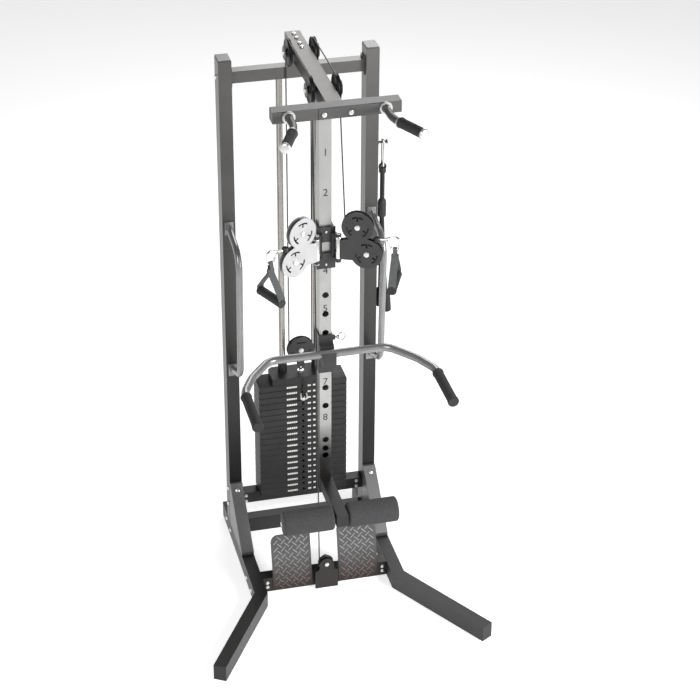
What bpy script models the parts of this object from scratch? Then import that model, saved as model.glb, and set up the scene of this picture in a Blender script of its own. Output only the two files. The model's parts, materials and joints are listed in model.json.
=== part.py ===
"""Free-standing cable tower with a pinned weight stack, twin swivel pulleys, lat bar, leg rollers and foot plates.

Millimetres in the constants and helpers, metres in the scene. X is right, Y is back, Z is up, and the floor is Z = 0.
"""

import math

import bmesh
import bpy
from mathutils import Matrix, Vector

MM = 0.001

# ---- driving dimensions (mm) ----
SHIFT_Y = 362.0          # moves the whole frame so that its box is centred on Y = 0
GAP = 0.3                # between pieces that rest on each other

TOP_Z = 2100.0           # top of the uprights
UP_X0, UP_X1 = 251.5, 301.5
UP_D = 70.0
WALL = 3.0

RAIL_H = 65.0
RAIL_W = 50.0
RAIL_X = 277.0
RAIL_REAR_Y = 170.0
BEND_Y = -476.0
FOOT_X, FOOT_Y = 521.0, -881.0
LOW_CROSS_Y = (22.0, 72.0)
FRONT_CROSS_Y = (-392.0, -342.0)

CROSS_Y0, CROSS_Y1 = 26.0, 70.0
CROSS_Z0, CROSS_Z1 = 1997.0, 2043.0

BOOM_W = 57.0
BOOM_Z0, BOOM_Z1 = 2082.0, 2142.0
BOOM_REAR_Y = 121.0
BAR_Y0, BAR_Y1 = -577.0, -526.0     # pull-up bar, front and rear faces
BAR_Z0, BAR_Z1 = 2100.0, 2143.0
BAR_HALF = 226.6
STUB_X, STUB_Z = 170.0, 2121.0

COL_W = 45.0
COL_Y0, COL_Y1 = -401.0, -351.0
COL_Z0 = 600.0
HOLE_PITCH = 79.4
NUMBER_PITCH = 157.5
NUMBER_TOP = 1890.0
ARM_Z0, ARM_Z1 = 470.0, 520.0
ARM_Y0 = -676.0

PULLEY_R = 50.0
CABLE_RC = 46.0          # radius of a cable's centre line on a pulley
CABLE_R = 2.5
BOOM_PULLEY_X = 47.0
BOOM_PULLEY_Z = 2121.0
BOOM_FRONT_Y, BOOM_BACK_Y = -370.0, -25.0
LOW_PULLEY = (0.0, -402.0, 112.0)
LOW_R, LOW_RC = 29.0, 26.0

STACK_HALF = 178.0
STACK_Y0, STACK_Y1 = -20.0, 82.0
STACK_Z0 = 195.4
BASE_Z0, BASE_Z1 = 147.0, 195.0
PLATE = 27.3
PLATES = 20
LIFTED = 4               # plates above and at the pin, the head being the first
ROD_X, ROD_Y, ROD_R = 68.0, 47.0, 12.5
STEM_Y = 21.0            # selector rod, floating pulley and the falls of the cable
HEAD_HALF = 122.0
FLOAT_Z = 846.0

HINGE_X, HINGE_Y = 40.0, -435.0
CAGE_YAW = 24.0          # degrees forward of straight out
CAGE_UP = (70.0, 1618.0)
CAGE_LOW = (104.0, 1513.0)
CAGE_R = 58.0
LINK_RHO, LINK_Z = 206.0, 1538.0    # where a handle's strap hangs
GRIP_Z = 1403.0

BAR_YC, HANG_Z = -445.0, 1092.0
LAT_R = 15.0
ROLLER_Y, ROLLER_Z, ROLLER_R = -632.0, 489.0, 47.5

for old in list(bpy.data.objects):
    bpy.data.objects.remove(old, do_unlink=True)

MATERIALS = {}


def material(name, rgb, rough, metal):
    if name not in MATERIALS:
        m = bpy.data.materials.new(name)
        m.use_nodes = True
        bsdf = m.node_tree.nodes["Principled BSDF"]
        bsdf.inputs["Base Color"].default_value = (*rgb, 1.0)
        bsdf.inputs["Roughness"].default_value = rough
        bsdf.inputs["Metallic"].default_value = metal
        m.diffuse_color = (*rgb, 1.0)
        MATERIALS[name] = m
    return MATERIALS[name]


PAINT = ("frame_black_paint", (0.035, 0.035, 0.037), 0.45, 0.3)
GREY_PAINT = ("panel_grey_paint", (0.20, 0.20, 0.205), 0.5, 0.3)
SILVER = ("column_silver_paint", (0.50, 0.50, 0.49), 0.38, 0.6)
CHROME = ("chrome", (0.80, 0.80, 0.80), 0.12, 1.0)
CASTING = ("stack_black_casting", (0.045, 0.045, 0.045), 0.55, 0.4)
NYLON = ("pulley_black_nylon", (0.03, 0.03, 0.03), 0.5, 0.0)
RUBBER = ("grip_black_rubber", (0.025, 0.025, 0.025), 0.8, 0.0)
FOAM = ("roller_grey_foam", (0.09, 0.09, 0.09), 0.9, 0.0)
TREAD = ("tread_grey_steel", (0.16, 0.16, 0.16), 0.4, 0.8)
CABLE = ("cable_black_jacket", (0.02, 0.02, 0.02), 0.45, 0.0)
WEB = ("strap_grey_webbing", (0.18, 0.18, 0.18), 0.85, 0.0)
ROPE = ("rope_black_braid", (0.03, 0.03, 0.03), 0.85, 0.0)
ZINC = ("cage_zinc_plate", (0.30, 0.30, 0.30), 0.4, 0.7)


def raw(verts, faces):
    """A scratch object in millimetres."""
    me = bpy.data.meshes.new("scratch")
    me.from_pydata([tuple(v) for v in verts], [], faces)
    bm = bmesh.new()
    bm.from_mesh(me)
    bmesh.ops.recalc_face_normals(bm, faces=bm.faces)
    if bm.calc_volume(signed=True) < 0:
        bmesh.ops.reverse_faces(bm, faces=bm.faces)
    bm.to_mesh(me)
    bm.free()
    obj = bpy.data.objects.new("scratch", me)
    bpy.context.scene.collection.objects.link(obj)
    return obj


def box(x0, x1, y0, y1, z0, z1):
    v = [(x, y, z) for z in (z0, z1) for y in (y0, y1) for x in (x0, x1)]
    f = [(0, 2, 3, 1), (4, 5, 7, 6), (0, 1, 5, 4), (2, 6, 7, 3), (0, 4, 6, 2), (1, 3, 7, 5)]
    return raw(v, f)


def frame_of(axis):
    a = Vector(axis).normalized()
    side = Vector((0, 0, 1)) if abs(a.z) < 0.9 else Vector((1, 0, 0))
    u = a.cross(side).normalized()
    return a, u, a.cross(u).normalized()


def cyl(p0, p1, r, seg=16, r1=None):
    p0, p1 = Vector(p0), Vector(p1)
    _, u, w = frame_of(p1 - p0)
    r1 = r if r1 is None else r1
    v = []
    for p, rr in ((p0, r), (p1, r1)):
        for i in range(seg):
            t = 2 * math.pi * (i + 0.5) / seg
            v.append(p + u * (rr * math.cos(t)) + w * (rr * math.sin(t)))
    f = [tuple(range(seg)), tuple(range(2 * seg - 1, seg - 1, -1))]
    f += [(i, (i + 1) % seg, seg + (i + 1) % seg, seg + i) for i in range(seg)]
    return raw(v, f)


def lathe(centre, axis, profile, seg=24):
    """A closed profile of (radius, along) turned about the axis; no point is on the axis."""
    c = Vector(centre)
    a, u, w = frame_of(axis)
    v = []
    for i in range(seg):
        t = 2 * math.pi * i / seg
        d = u * math.cos(t) + w * math.sin(t)
        v += [c + d * r + a * h for r, h in profile]
    n = len(profile)
    f = []
    for i in range(seg):
        j = (i + 1) % seg
        for k in range(n):
            m = (k + 1) % n
            f.append((i * n + k, i * n + m, j * n + m, j * n + k))
    return raw(v, f)


def turned(centre, axis, profile, seg=24):
    """A profile of (radius, along) from one end to the other, capped flat at both ends."""
    c = Vector(centre)
    a, u, w = frame_of(axis)
    v = []
    for r, h in profile:
        for i in range(seg):
            t = 2 * math.pi * i / seg
            v.append(c + (u * math.cos(t) + w * math.sin(t)) * r + a * h)
    n = len(profile)
    f = [tuple(range(seg)), tuple(range((n - 1) * seg, n * seg))]
    for k in range(n - 1):
        for i in range(seg):
            j = (i + 1) % seg
            f.append((k * seg + i, k * seg + j, (k + 1) * seg + j, (k + 1) * seg + i))
    return raw(v, f)


def sweep(path, section, up=(0, 0, 1), closed=False):
    """A section of (side, up) points carried along a path, mitred at each corner."""
    pts = [Vector(p) for p in path]
    n = len(pts)
    up = Vector(up)
    rings = []
    for i, p in enumerate(pts):
        if closed:
            d0 = (p - pts[i - 1]).normalized()
            d1 = (pts[(i + 1) % n] - p).normalized()
        else:
            d0 = (p - pts[i - 1]).normalized() if i else (pts[1] - p).normalized()
            d1 = (pts[i + 1] - p).normalized() if i < n - 1 else d0
        t = (d0 + d1).normalized()
        s0 = d0.cross(up).normalized()
        w0 = s0.cross(d0).normalized()
        ring = []
        for a, b in section:
            q = p + s0 * a + w0 * b
            k = (p - q).dot(t) / d0.dot(t)
            ring.append(q + d0 * k)
        rings.append(ring)
    m = len(section)
    v = [q for ring in rings for q in ring]
    f = []
    for i in range(n if closed else n - 1):
        j = (i + 1) % n
        for k in range(m):
            l = (k + 1) % m
            f.append((i * m + k, i * m + l, j * m + l, j * m + k))
    if not closed:
        f += [tuple(range(m)), tuple(range((n - 1) * m, n * m))]
    return raw(v, f)


def rect(w, h, r=0.0):
    a, b = w / 2, h / 2
    if r <= 0:
        return [(-a, -b), (a, -b), (a, b), (-a, b)]
    return [(-a + r, -b), (a - r, -b), (a, -b + r), (a, b - r), (a - r, b), (-a + r, b), (-a, b - r), (-a, -b + r)]


def circle(r, n=12):
    return [(r * math.cos(2 * math.pi * (i + 0.5) / n), r * math.sin(2 * math.pi * (i + 0.5) / n)) for i in range(n)]


def arc_path(points, radius, steps=4):
    """The polyline with each inner corner rounded to a radius."""
    pts = [Vector(p) for p in points]
    out = [pts[0]]
    for i in range(1, len(pts) - 1):
        a, b, c = pts[i - 1], pts[i], pts[i + 1]
        d0, d1 = (a - b).normalized(), (c - b).normalized()
        ang = d0.angle(d1)
        rr = radius[i - 1] if isinstance(radius, (list, tuple)) else radius
        cut = min(rr / math.tan(ang / 2), (a - b).length * 0.49, (c - b).length * 0.49)
        rr = cut * math.tan(ang / 2)
        centre = b + (d0 + d1).normalized() * (rr / math.sin(ang / 2))
        p0, p1 = b + d0 * cut - centre, b + d1 * cut - centre
        whole = p0.angle(p1)
        for k in range(steps + 1):
            t = k / steps
            out.append(centre + (p0 * math.sin((1 - t) * whole) + p1 * math.sin(t * whole)) / math.sin(whole))
    out.append(pts[-1])
    return out


def prism(poly, plane, h0, h1):
    """A polygon in the plane 'xy', 'xz' or 'yz', extruded along the third axis from h0 to h1."""
    def at(p, h):
        return {"xy": (p[0], p[1], h), "xz": (p[0], h, p[1]), "yz": (h, p[0], p[1])}[plane]
    n = len(poly)
    v = [at(p, h0) for p in poly] + [at(p, h1) for p in poly]
    f = [tuple(range(n)), tuple(range(n, 2 * n))]
    f += [(i, (i + 1) % n, n + (i + 1) % n, n + i) for i in range(n)]
    return raw(v, f)


def fuse(a, others, operation="UNION"):
    for b in others:
        mod = a.modifiers.new("cut", "BOOLEAN")
        mod.solver = "EXACT"
        mod.operation = operation
        mod.object = b
        graph = bpy.context.evaluated_depsgraph_get()
        graph.update()
        me = bpy.data.meshes.new_from_object(a.evaluated_get(graph))
        a.modifiers.clear()
        bm = bmesh.new()
        bm.from_mesh(me)
        bmesh.ops.remove_doubles(bm, verts=bm.verts, dist=0.002)
        bmesh.ops.dissolve_degenerate(bm, edges=bm.edges, dist=0.002)
        bm.to_mesh(me)
        bm.free()
        a.data = me
        bpy.data.objects.remove(b, do_unlink=True)
    return a


def group(objs):
    """Separate cutters as one object, so that one Boolean takes them all."""
    v, f = [], []
    for o in objs:
        n = len(v)
        v += [tuple(p.co) for p in o.data.vertices]
        f += [tuple(n + i for i in p.vertices) for p in o.data.polygons]
        bpy.data.objects.remove(o, do_unlink=True)
    me = bpy.data.meshes.new("scratch")
    me.from_pydata(v, [], f)
    obj = bpy.data.objects.new("scratch", me)
    bpy.context.scene.collection.objects.link(obj)
    return obj


def cut(a, *others):
    return fuse(a, others, "DIFFERENCE")


def join(a, *others):
    return fuse(a, others, "UNION")


def moved(obj, matrix):
    obj.data.transform(matrix)
    if matrix.determinant() < 0:
        obj.data.flip_normals()
    return obj


def mirrored(obj):
    me = obj.data.copy()
    me.transform(Matrix.Diagonal((-1, 1, 1, 1)))
    me.flip_normals()
    twin = bpy.data.objects.new("scratch", me)
    bpy.context.scene.collection.objects.link(twin)
    return twin


def finish(obj, name, mat, origin=(0, 0, 0)):
    """Names the piece, puts its origin on its joint's axis and goes over to metres."""
    o = Vector(origin)
    obj.data.transform(Matrix.Translation(-o))
    obj.data.transform(Matrix.Scale(MM, 4))
    obj.location = (o + Vector((0, SHIFT_Y, 0))) * MM
    obj.name = name
    obj.data.name = name
    obj.data.materials.clear()
    obj.data.materials.append(material(*mat))
    for p in obj.data.polygons:
        p.material_index = 0
    obj.data.shade_smooth()
    obj.data.set_sharp_from_angle(angle=math.radians(38))
    return obj


def cable(name, points, radius, mat, resolution=2):
    cu = bpy.data.curves.new(name, "CURVE")
    cu.dimensions = "3D"
    sp = cu.splines.new("POLY")
    sp.points.add(len(points) - 1)
    for i, p in enumerate(points):
        q = (Vector(p) + Vector((0, SHIFT_Y, 0))) * MM
        sp.points[i].co = (*q, 1.0)
    cu.bevel_depth = radius * MM
    cu.bevel_resolution = resolution
    cu.use_fill_caps = True
    cu.twist_mode = "MINIMUM"
    obj = bpy.data.objects.new(name, cu)
    bpy.context.scene.collection.objects.link(obj)
    cu.materials.append(material(*mat))
    return obj


# ---- small fastener heads, standing on a face of the piece they are part of ----
def bolt(p, axis, r=8.0, h=4.5, seg=8):
    p, a = Vector(p), Vector(axis).normalized()
    return turned(p, a, [(r, -1.0), (r - 0.8, h)], seg)


# ---- uprights ----
for side, s in (("left", -1), ("right", 1)):
    x0, x1 = sorted((s * UP_X0, s * UP_X1))
    up = box(x0, x1, 0, UP_D, RAIL_H + GAP, TOP_Z - 5)
    up = join(up, box(x0 + 1.5, x1 - 1.5, 1.5, UP_D - 1.5, TOP_Z - 6, TOP_Z))
    up = cut(up, box(x0 + WALL, x1 - WALL, WALL, UP_D - WALL, RAIL_H - 20, TOP_Z - 12))
    face = s * UP_X1
    up = join(up, bolt((face, 28, 227), (s, 0, 0)), bolt((face, 37, 148), (s, 0, 0)), bolt((face, 48, 2020), (s, 0, 0)))
    if s > 0:
        # peg for the rope, on the outer side
        up = join(up, cyl((face - 2, 8, 1712), (face + 33, 8, 1712), 5, 12), cyl((face + 32, 8, 1712), (face + 36, 8, 1712), 9, 12),
                  cyl((face - 1, 8, 1712), (face + 2, 8, 1712), 7.5, 12))
    finish(up, "upright_" + side, PAINT)

# ---- top crossbar, with its end flanges and the riser under the boom ----
inner = UP_X0 - GAP
xb = box(-inner + 4, inner - 4, CROSS_Y0, CROSS_Y1, CROSS_Z0, CROSS_Z1)
xb = join(xb, box(-30, 30, CROSS_Y0, CROSS_Y1, CROSS_Z1 - 1, BOOM_Z0 - GAP))
xb = cut(xb, box(-inner + 10, inner - 10, CROSS_Y0 + WALL, CROSS_Y1 - WALL, CROSS_Z0 + WALL, CROSS_Z1 - WALL),
         cyl((180, 48, CROSS_Z0 - 5), (180, 48, CROSS_Z0 + 9), 5, 10))
for s in (-1, 1):
    a, b = sorted((s * inner, s * (inner - 5)))
    xb = join(xb, box(a, b, CROSS_Y0 - 6, CROSS_Y1 - 1, CROSS_Z0 - 12, CROSS_Z1 + 12))
finish(xb, "top_crossbar", PAINT)

# ---- boom, with the pulley axles and their outer plates ----
boom = box(-BOOM_W / 2, BOOM_W / 2, BAR_Y1 + GAP, BOOM_REAR_Y, BOOM_Z0, BOOM_Z1)
boom = cut(boom, box(-BOOM_W / 2 + WALL, BOOM_W / 2 - WALL, BAR_Y1 - 10, BOOM_REAR_Y - WALL, BOOM_Z0 + WALL, BOOM_Z1 - WALL))
for s in (-1, 1):
    for y in (BOOM_FRONT_Y, BOOM_BACK_Y):
        z = BOOM_PULLEY_Z
        boom = join(boom, cyl((s * (BOOM_W / 2 - 1), y, z), (s * (BOOM_PULLEY_X - 8.5), y, z), 11.0, 10),
                    cyl((s * (BOOM_W / 2 - 1), y, z), (s * 66, y, z), 6.2, 10),
                    cyl((s * (BOOM_PULLEY_X + 8.5), y, z), (s * 61.5, y, z), 11.0, 10),
                    cyl((s * 61, y, z), (s * 64, y, z), 27.0, 16), bolt((s * 64, y, z), (s, 0, 0), 8.5, 5))
for y in (92, 50, -1, -35):
    boom = join(boom, bolt((0, y, BOOM_Z1), (0, 0, 1), 7.0, 4))
finish(boom, "boom", PAINT)

# ---- column ----
col = box(-COL_W / 2, COL_W / 2, COL_Y0, COL_Y1, COL_Z0 + GAP, BOOM_Z0 - GAP)
top = BOOM_Z0 - GAP
gus = prism([(COL_Y1 - 1, top - 1), (COL_Y1 - 1, 2020), (COL_Y1 + 6, 2020), (COL_Y1 + 61, 2066), (COL_Y1 + 61, top - 1)], "yz", -4, 4)
col = join(col, gus)
front_holes = [(1316.0 - k * HOLE_PITCH, 12.5) for k in range(7)] + [(687.0, 12.5), (648.0, 12.5), (616.5, 12.5)]
HP_Z = 1120.0
holes = [cyl((0, COL_Y0 - 5, z), (0, COL_Y0 + 8, z), r, 12) for z, r in front_holes]
holes += [cyl((0, COL_Y1 - 8, NUMBER_TOP - k * NUMBER_PITCH), (0, COL_Y1 + 5, NUMBER_TOP - k * NUMBER_PITCH), 6.5, 8) for k in range(8)]
holes += [cyl((COL_W / 2 - 8, -376, HP_Z + k * NUMBER_PITCH), (COL_W / 2 + 6, -376, HP_Z + k * NUMBER_PITCH), 5.6, 8) for k in range(-2, 2)]
col = cut(col, group([box(-COL_W / 2 + 2.5, COL_W / 2 - 2.5, COL_Y0 + 2.5, COL_Y1 - 2.5, COL_Z0 - 10, BOOM_Z0 + 10)]))
col = cut(col, group(holes))
lug = box(-55, -COL_W / 2 + 1, COL_Y0 - 9, COL_Y0 + 7, 2040, 2052)
col = join(col, lug)
finish(col, "column", SILVER)

# ---- roller arm, under the column and forward ----
arm = box(-COL_W / 2, COL_W / 2, COL_Y0, COL_Y1, ARM_Z0, COL_Z0)
arm = join(arm, box(-COL_W / 2, COL_W / 2, ARM_Y0, COL_Y1 - 4, ARM_Z0, ARM_Z1))
arm = cut(arm, box(-COL_W / 2 + 3, COL_W / 2 - 3, COL_Y0 + 3, COL_Y1 - 3, ARM_Z0 + 3, COL_Z0 + 10),
          box(-COL_W / 2 + 3, COL_W / 2 - 3, ARM_Y0 + 3, COL_Y1 - 8, ARM_Z0 + 3, ARM_Z1 - 3))
arm = cut(arm, cyl((-40, ROLLER_Y, ROLLER_Z), (40, ROLLER_Y, ROLLER_Z), 9.4, 16))
finish(arm, "roller_arm", PAINT)
finish(cyl((-225, ROLLER_Y, ROLLER_Z), (225, ROLLER_Y, ROLLER_Z), 9.0, 16), "roller_axle", CHROME, (0, ROLLER_Y, ROLLER_Z))
for side, s in (("left", -1), ("right", 1)):
    r = ROLLER_R
    pad = lathe((s * 124.5, ROLLER_Y, ROLLER_Z), (1, 0, 0),
                [(9.6, -96.5), (r - 6, -96.5), (r, -90), (r, 90), (r - 6, 96.5), (9.6, 96.5)], 20)
    finish(pad, "roller_pad_" + side, FOAM, (s * 124.5, ROLLER_Y, ROLLER_Z))

# ---- pull-up bar with its handle stubs ----
GRIP_END = (236.0, -818.0, 2124.0)
ELBOW = (177.0, -684.0, 2121.0)
bar = box(-BAR_HALF, BAR_HALF, BAR_Y0, BAR_Y1, BAR_Z0, BAR_Z1)
bar = cut(bar, box(-BAR_HALF + 3, BAR_HALF - 3, BAR_Y0 + 3, BAR_Y1 - 3, BAR_Z0 + 3, BAR_Z1 - 3))
bar = join(bar, box(-65, 65, BAR_Y0 - 3, BAR_Y0 + 1, BAR_Z0 + 1, BAR_Z1 - 1))
bar = cut(bar, cyl((0, BAR_Y1 - 8, 2121), (0, BAR_Y1 + 8, 2121), 12, 12))
for s in (-1, 1):
    elbow, end = Vector((s * ELBOW[0], ELBOW[1], ELBOW[2])), Vector((s * GRIP_END[0], GRIP_END[1], GRIP_END[2]))
    path = arc_path([(s * STUB_X, BAR_Y0 + 2, STUB_Z), (s * STUB_X, -650, STUB_Z), elbow, end], [30, 60], 2)
    bar = join(bar, cyl((s * STUB_X, BAR_Y0 - 4, STUB_Z), (s * STUB_X, BAR_Y0 + 1, STUB_Z), 22, 16), sweep(path, circle(13.5, 10)),
               bolt((s * 47, BAR_Y0 - 3, 2119), (0, -1, 0), 8, 4.5))
finish(bar, "pullup_bar", PAINT)
for side, s in (("left", -1), ("right", 1)):
    elbow, end = Vector((s * ELBOW[0], ELBOW[1], ELBOW[2])), Vector((s * GRIP_END[0], GRIP_END[1], GRIP_END[2]))
    d = (end - elbow).normalized()
    start = end - d * 122
    grip = turned(start, d, [(19, 0), (17.5, 4), (17.5, 120), (19, 122), (16, 127)], 14)
    grip = cut(grip, cyl(start - d * 5, end + d * 0.3, 14.2, 12))
    finish(grip, "pullup_grip_" + side, RUBBER)

# ---- bent grab handles on the front faces of the uprights ----
for side, s in (("left", -1), ("right", 1)):
    x = s * RAIL_X
    path = arc_path([(x, 4, 1424), (x, -190, 1398), (x, -163, 872), (x, 4, 803)], [80, 70], 4)
    h = sweep(path, circle(12.5, 10), up=(1, 0, 0))
    h = join(h, box(x - 17, x + 17, -4 - GAP, -GAP, 1398, 1450), box(x - 17, x + 17, -4 - GAP, -GAP, 777, 829))
    h = cut(h, box(x - 30, x + 30, -GAP, 30, 740, 1500))
    finish(h, "grab_handle_" + side, PAINT)

# ---- base rails bent out to the feet ----
for side, s in (("left", -1), ("right", 1)):
    path = [(s * RAIL_X, RAIL_REAR_Y, RAIL_H / 2), (s * RAIL_X, BEND_Y, RAIL_H / 2), (s * FOOT_X, FOOT_Y, RAIL_H / 2)]
    leg = sweep(path, rect(RAIL_W, RAIL_H))
    d = (Vector(path[2]) - Vector(path[1])).normalized()
    hollow = [Vector(path[0]) + Vector((0, -3, 0)), Vector(path[1]), Vector(path[2]) - d * 4]
    leg = cut(leg, sweep(hollow, rect(RAIL_W - 2 * WALL, RAIL_H - 2 * WALL)), cyl((s * RAIL_X, 150, -5), (s * RAIL_X, 150, 8), 6, 10))
    for y, z in ((77, 46), (0, 40), (-323, 32), (-410, 32)):
        leg = join(leg, bolt((s * (RAIL_X + RAIL_W / 2), y, z), (s, 0, 0)))
    finish(leg, "base_leg_" + side, PAINT)

# ---- sloping brace between the upright and the rail ----
for side, s in (("left", -1), ("right", 1)):
    x0, x1 = sorted((s * 251.8, s * 301.8))
    base = RAIL_H + GAP
    g = prism([(-GAP, 272), (-GAP, base), (-222, base), (-222, 80), (-12, 272)], "yz", x0, x1)
    g = cut(g, prism([(5, 262), (5, base - 10), (-200, base - 10), (-200, 84), (-5, 262)], "yz", x0 + 2.5, x1 - 2.5))
    slope = Vector((0, -192, 210)).normalized()
    g = join(g, bolt((s * RAIL_X, -34, 252.5), slope, 8, 4.5))
    for y, z in ((-60, 120), (-140, 95)):
        g = join(g, bolt((x0 if s > 0 else x1, y, z), (-s, 0, 0), 6.5, 4))
    finish(g, "brace_" + side, GREY_PAINT)

# ---- cross members ----
low = box(-inner, inner, LOW_CROSS_Y[0], LOW_CROSS_Y[1], 0.5, RAIL_H)
finish(cut(low, box(-300, 300, LOW_CROSS_Y[0] + 3, LOW_CROSS_Y[1] - 3, 3.5, RAIL_H - 3)), "rear_cross", PAINT)
sb = box(-inner, inner, LOW_CROSS_Y[0], LOW_CROSS_Y[1], BASE_Z0, BASE_Z1)
sb = cut(sb, box(-300, 300, LOW_CROSS_Y[0] + 3, LOW_CROSS_Y[1] - 3, BASE_Z0 + 3, BASE_Z1 - 3))
for s in (-1, 1):
    for z in (158, 184):
        sb = join(sb, bolt((s * 232, LOW_CROSS_Y[0], z), (0, -1, 0), 6.5, 4))
finish(sb, "stack_base", PAINT)
fy0, fy1 = FRONT_CROSS_Y
fc = box(-inner, inner, fy0, fy1, 0.5, RAIL_H)
fc = cut(fc, box(-300, 300, fy0 + 3, fy1 - 3, 3.5, RAIL_H - 3))
r_top = 28.0
arc_top = [(r_top * math.cos(math.radians(t)), 112 + r_top * math.sin(math.radians(t))) for t in (0, 30, 60)]
outline = [(-46, 2), (46, 2), (46, 80), (30, 88)] + arc_top + [(0, 112 + r_top)] + [(-x, z) for x, z in reversed(arc_top)] + [(-30, 88), (-46, 80)]
front = prism(outline, "xz", -420, -416)
back = prism([(x * 0.7, z) for x, z in outline], "xz", -392.5, -388)
fc = join(fc, back, front, box(-40, 40, -418, fy0 + 1, 2, 6),
          cyl((0, -417, 112), (0, -389, 112), 6.2, 12), cyl((0, -417, 112), (0, LOW_PULLEY[1] - 8.4, 112), 10, 14),
          cyl((0, LOW_PULLEY[1] + 8.4, 112), (0, -391, 112), 10, 14), bolt((0, -420, 114), (0, -1, 0), 8, 5))
for s in (-1, 1):
    fc = join(fc, bolt((s * 234, fy0, 24), (0, -1, 0), 6.5, 4), bolt((s * 234, fy0, 44), (0, -1, 0), 6.5, 4))
finish(fc, "front_cross", PAINT)

# ---- tread plates: upright in front of the cross member, then leaning back ----
for side, s in (("left", -1), ("right", 1)):
    x0, x1 = 54.0, 212.0
    sheet = prism([(fy0 - 4.3, 5), (fy0 - GAP, 5), (fy0 - GAP, 66.5), (-351, 238), (-355, 239), (fy0 - 4.3, 67.3)], "yz", min(s * x0, s * x1), max(s * x0, s * x1))
    r = 28.0
    corner = [(x1 - r + r * math.cos(math.radians(t)), 238 - r + r * math.sin(math.radians(t))) for t in (0, 22.5, 45, 67.5, 90)]
    out = [(x0, 0), (x1, 0)] + corner + [(x0 + 6, 238), (x0, 232)]
    sheet = fuse(sheet, [prism([(s * x, z) for x, z in out], "xz", -420, -320)], "INTERSECT")
    finish(sheet, "tread_" + side, TREAD)


# ---- pulleys ----
def pulley(c, axis, r=PULLEY_R):
    return lathe(c, axis, [(6.7, -8), (15, -8), (r, -7), (r - 8.0, -3.0), (r - 8.0, 3.0), (r, 7), (15, 8), (6.7, 8)], 12)


for side, s in (("left", -1), ("right", 1)):
    for where, y in (("front", BOOM_FRONT_Y), ("rear", BOOM_BACK_Y)):
        c = (s * BOOM_PULLEY_X, y, BOOM_PULLEY_Z)
        finish(pulley(c, (1, 0, 0)), f"boom_pulley_{side}_{where}", NYLON, c)
finish(pulley(LOW_PULLEY, (0, 1, 0), LOW_R + 1), "low_pulley", NYLON, LOW_PULLEY)
FLOAT_C = (0, STEM_Y, FLOAT_Z)
finish(pulley(FLOAT_C, (0, 1, 0)), "stack_pulley", NYLON, FLOAT_C)

# ---- carriage on the column ----
CAR_Z0, CAR_Z1 = 1432.0, 1600.0
PIN_Z = NUMBER_TOP - 2 * NUMBER_PITCH
car = box(-31, 31, COL_Y0 - 8, COL_Y1 + 8, CAR_Z0, CAR_Z1)
car = join(car, box(-35, 35, COL_Y0 - 10, COL_Y0 - 5, CAR_Z0, CAR_Z1))
for s in (-1, 1):
    for z0, z1 in ((1571, 1579), (1475, 1483)):
        ear = [(s * 14, COL_Y0 - 9), (s * 31, COL_Y0 - 9), (s * 49, HINGE_Y + 9), (s * 51, HINGE_Y), (s * 46, HINGE_Y - 9), (s * 36, HINGE_Y - 11), (s * 29, HINGE_Y - 4)]
        car = join(car, prism(ear, "xy", z0, z1))
    web = [(s * 12, COL_Y0 - 9), (s * 17, COL_Y0 - 9), (s * 26.5, HINGE_Y + 13), (s * 22.5, HINGE_Y + 13)]
    car = join(car, prism(web, "xy", 1476, 1578))
    h = (s * HINGE_X, HINGE_Y)
    car = join(car, cyl((*h, 1472), (*h, 1582), 6.0, 14), cyl((*h, 1578), (*h, 1583), 9.0, 14), cyl((*h, 1469), (*h, 1476), 10.5, 14))
car = join(car, cyl((0, COL_Y1 + 7, PIN_Z), (0, COL_Y1 + 22, PIN_Z), 12, 14), bolt((0, COL_Y0 - 10, 1581), (0, -1, 0), 3.5, 3, 8), bolt((0, COL_Y0 - 10, 1449), (0, -1, 0), 3.5, 3, 8))
car = cut(car, box(-COL_W / 2 - 0.8, COL_W / 2 + 0.8, COL_Y0 - 0.8, COL_Y1 + 0.8, 1400, 1650), box(-16, 16, COL_Y0 - 30, COL_Y0 - 0.5, 1495, 1540),
          cyl((0, COL_Y1 - 5, PIN_Z), (0, COL_Y1 + 30, PIN_Z), 5.6, 14))
finish(car, "carriage", PAINT, (0, (COL_Y0 + COL_Y1) / 2, 1516))
# the plunger is drawn out of its hole; it enters by 10 mm
pin = turned((0, COL_Y1 + 1.5, PIN_Z), (0, 1, 0), [(5.0, 0), (5.0, 31.3), (13, 31.4), (16, 36), (16, 49), (12, 54)], 16)
finish(pin, "carriage_pin", CHROME, (0, COL_Y1, PIN_Z))


# ---- swivel cages: local x is out from the hinge, local y is across, z is up ----
def cage_matrix(s):
    m = Matrix.Translation((HINGE_X, HINGE_Y, 0)) @ Matrix.Rotation(math.radians(-CAGE_YAW), 4, "Z")
    return m if s > 0 else Matrix.Diagonal((-1, 1, 1, 1)) @ m


def cage_point(s, rho, z, across=0.0):
    return cage_matrix(s) @ Vector((rho, across, z))


def arc_slot(cx, cz, ang, y0, y1):
    """A cutter for one lightening slot, seen along y: a short arc about the centre."""
    def at(r, t):
        a = math.radians(ang + t)
        return (cx + r * math.cos(a), cz + r * math.sin(a))
    pts = [at(39.5, -28), at(39.5, 28), at(34.5, 28), at(34.5, -28)]
    return prism(pts, "xz", y0, y1)


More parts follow.
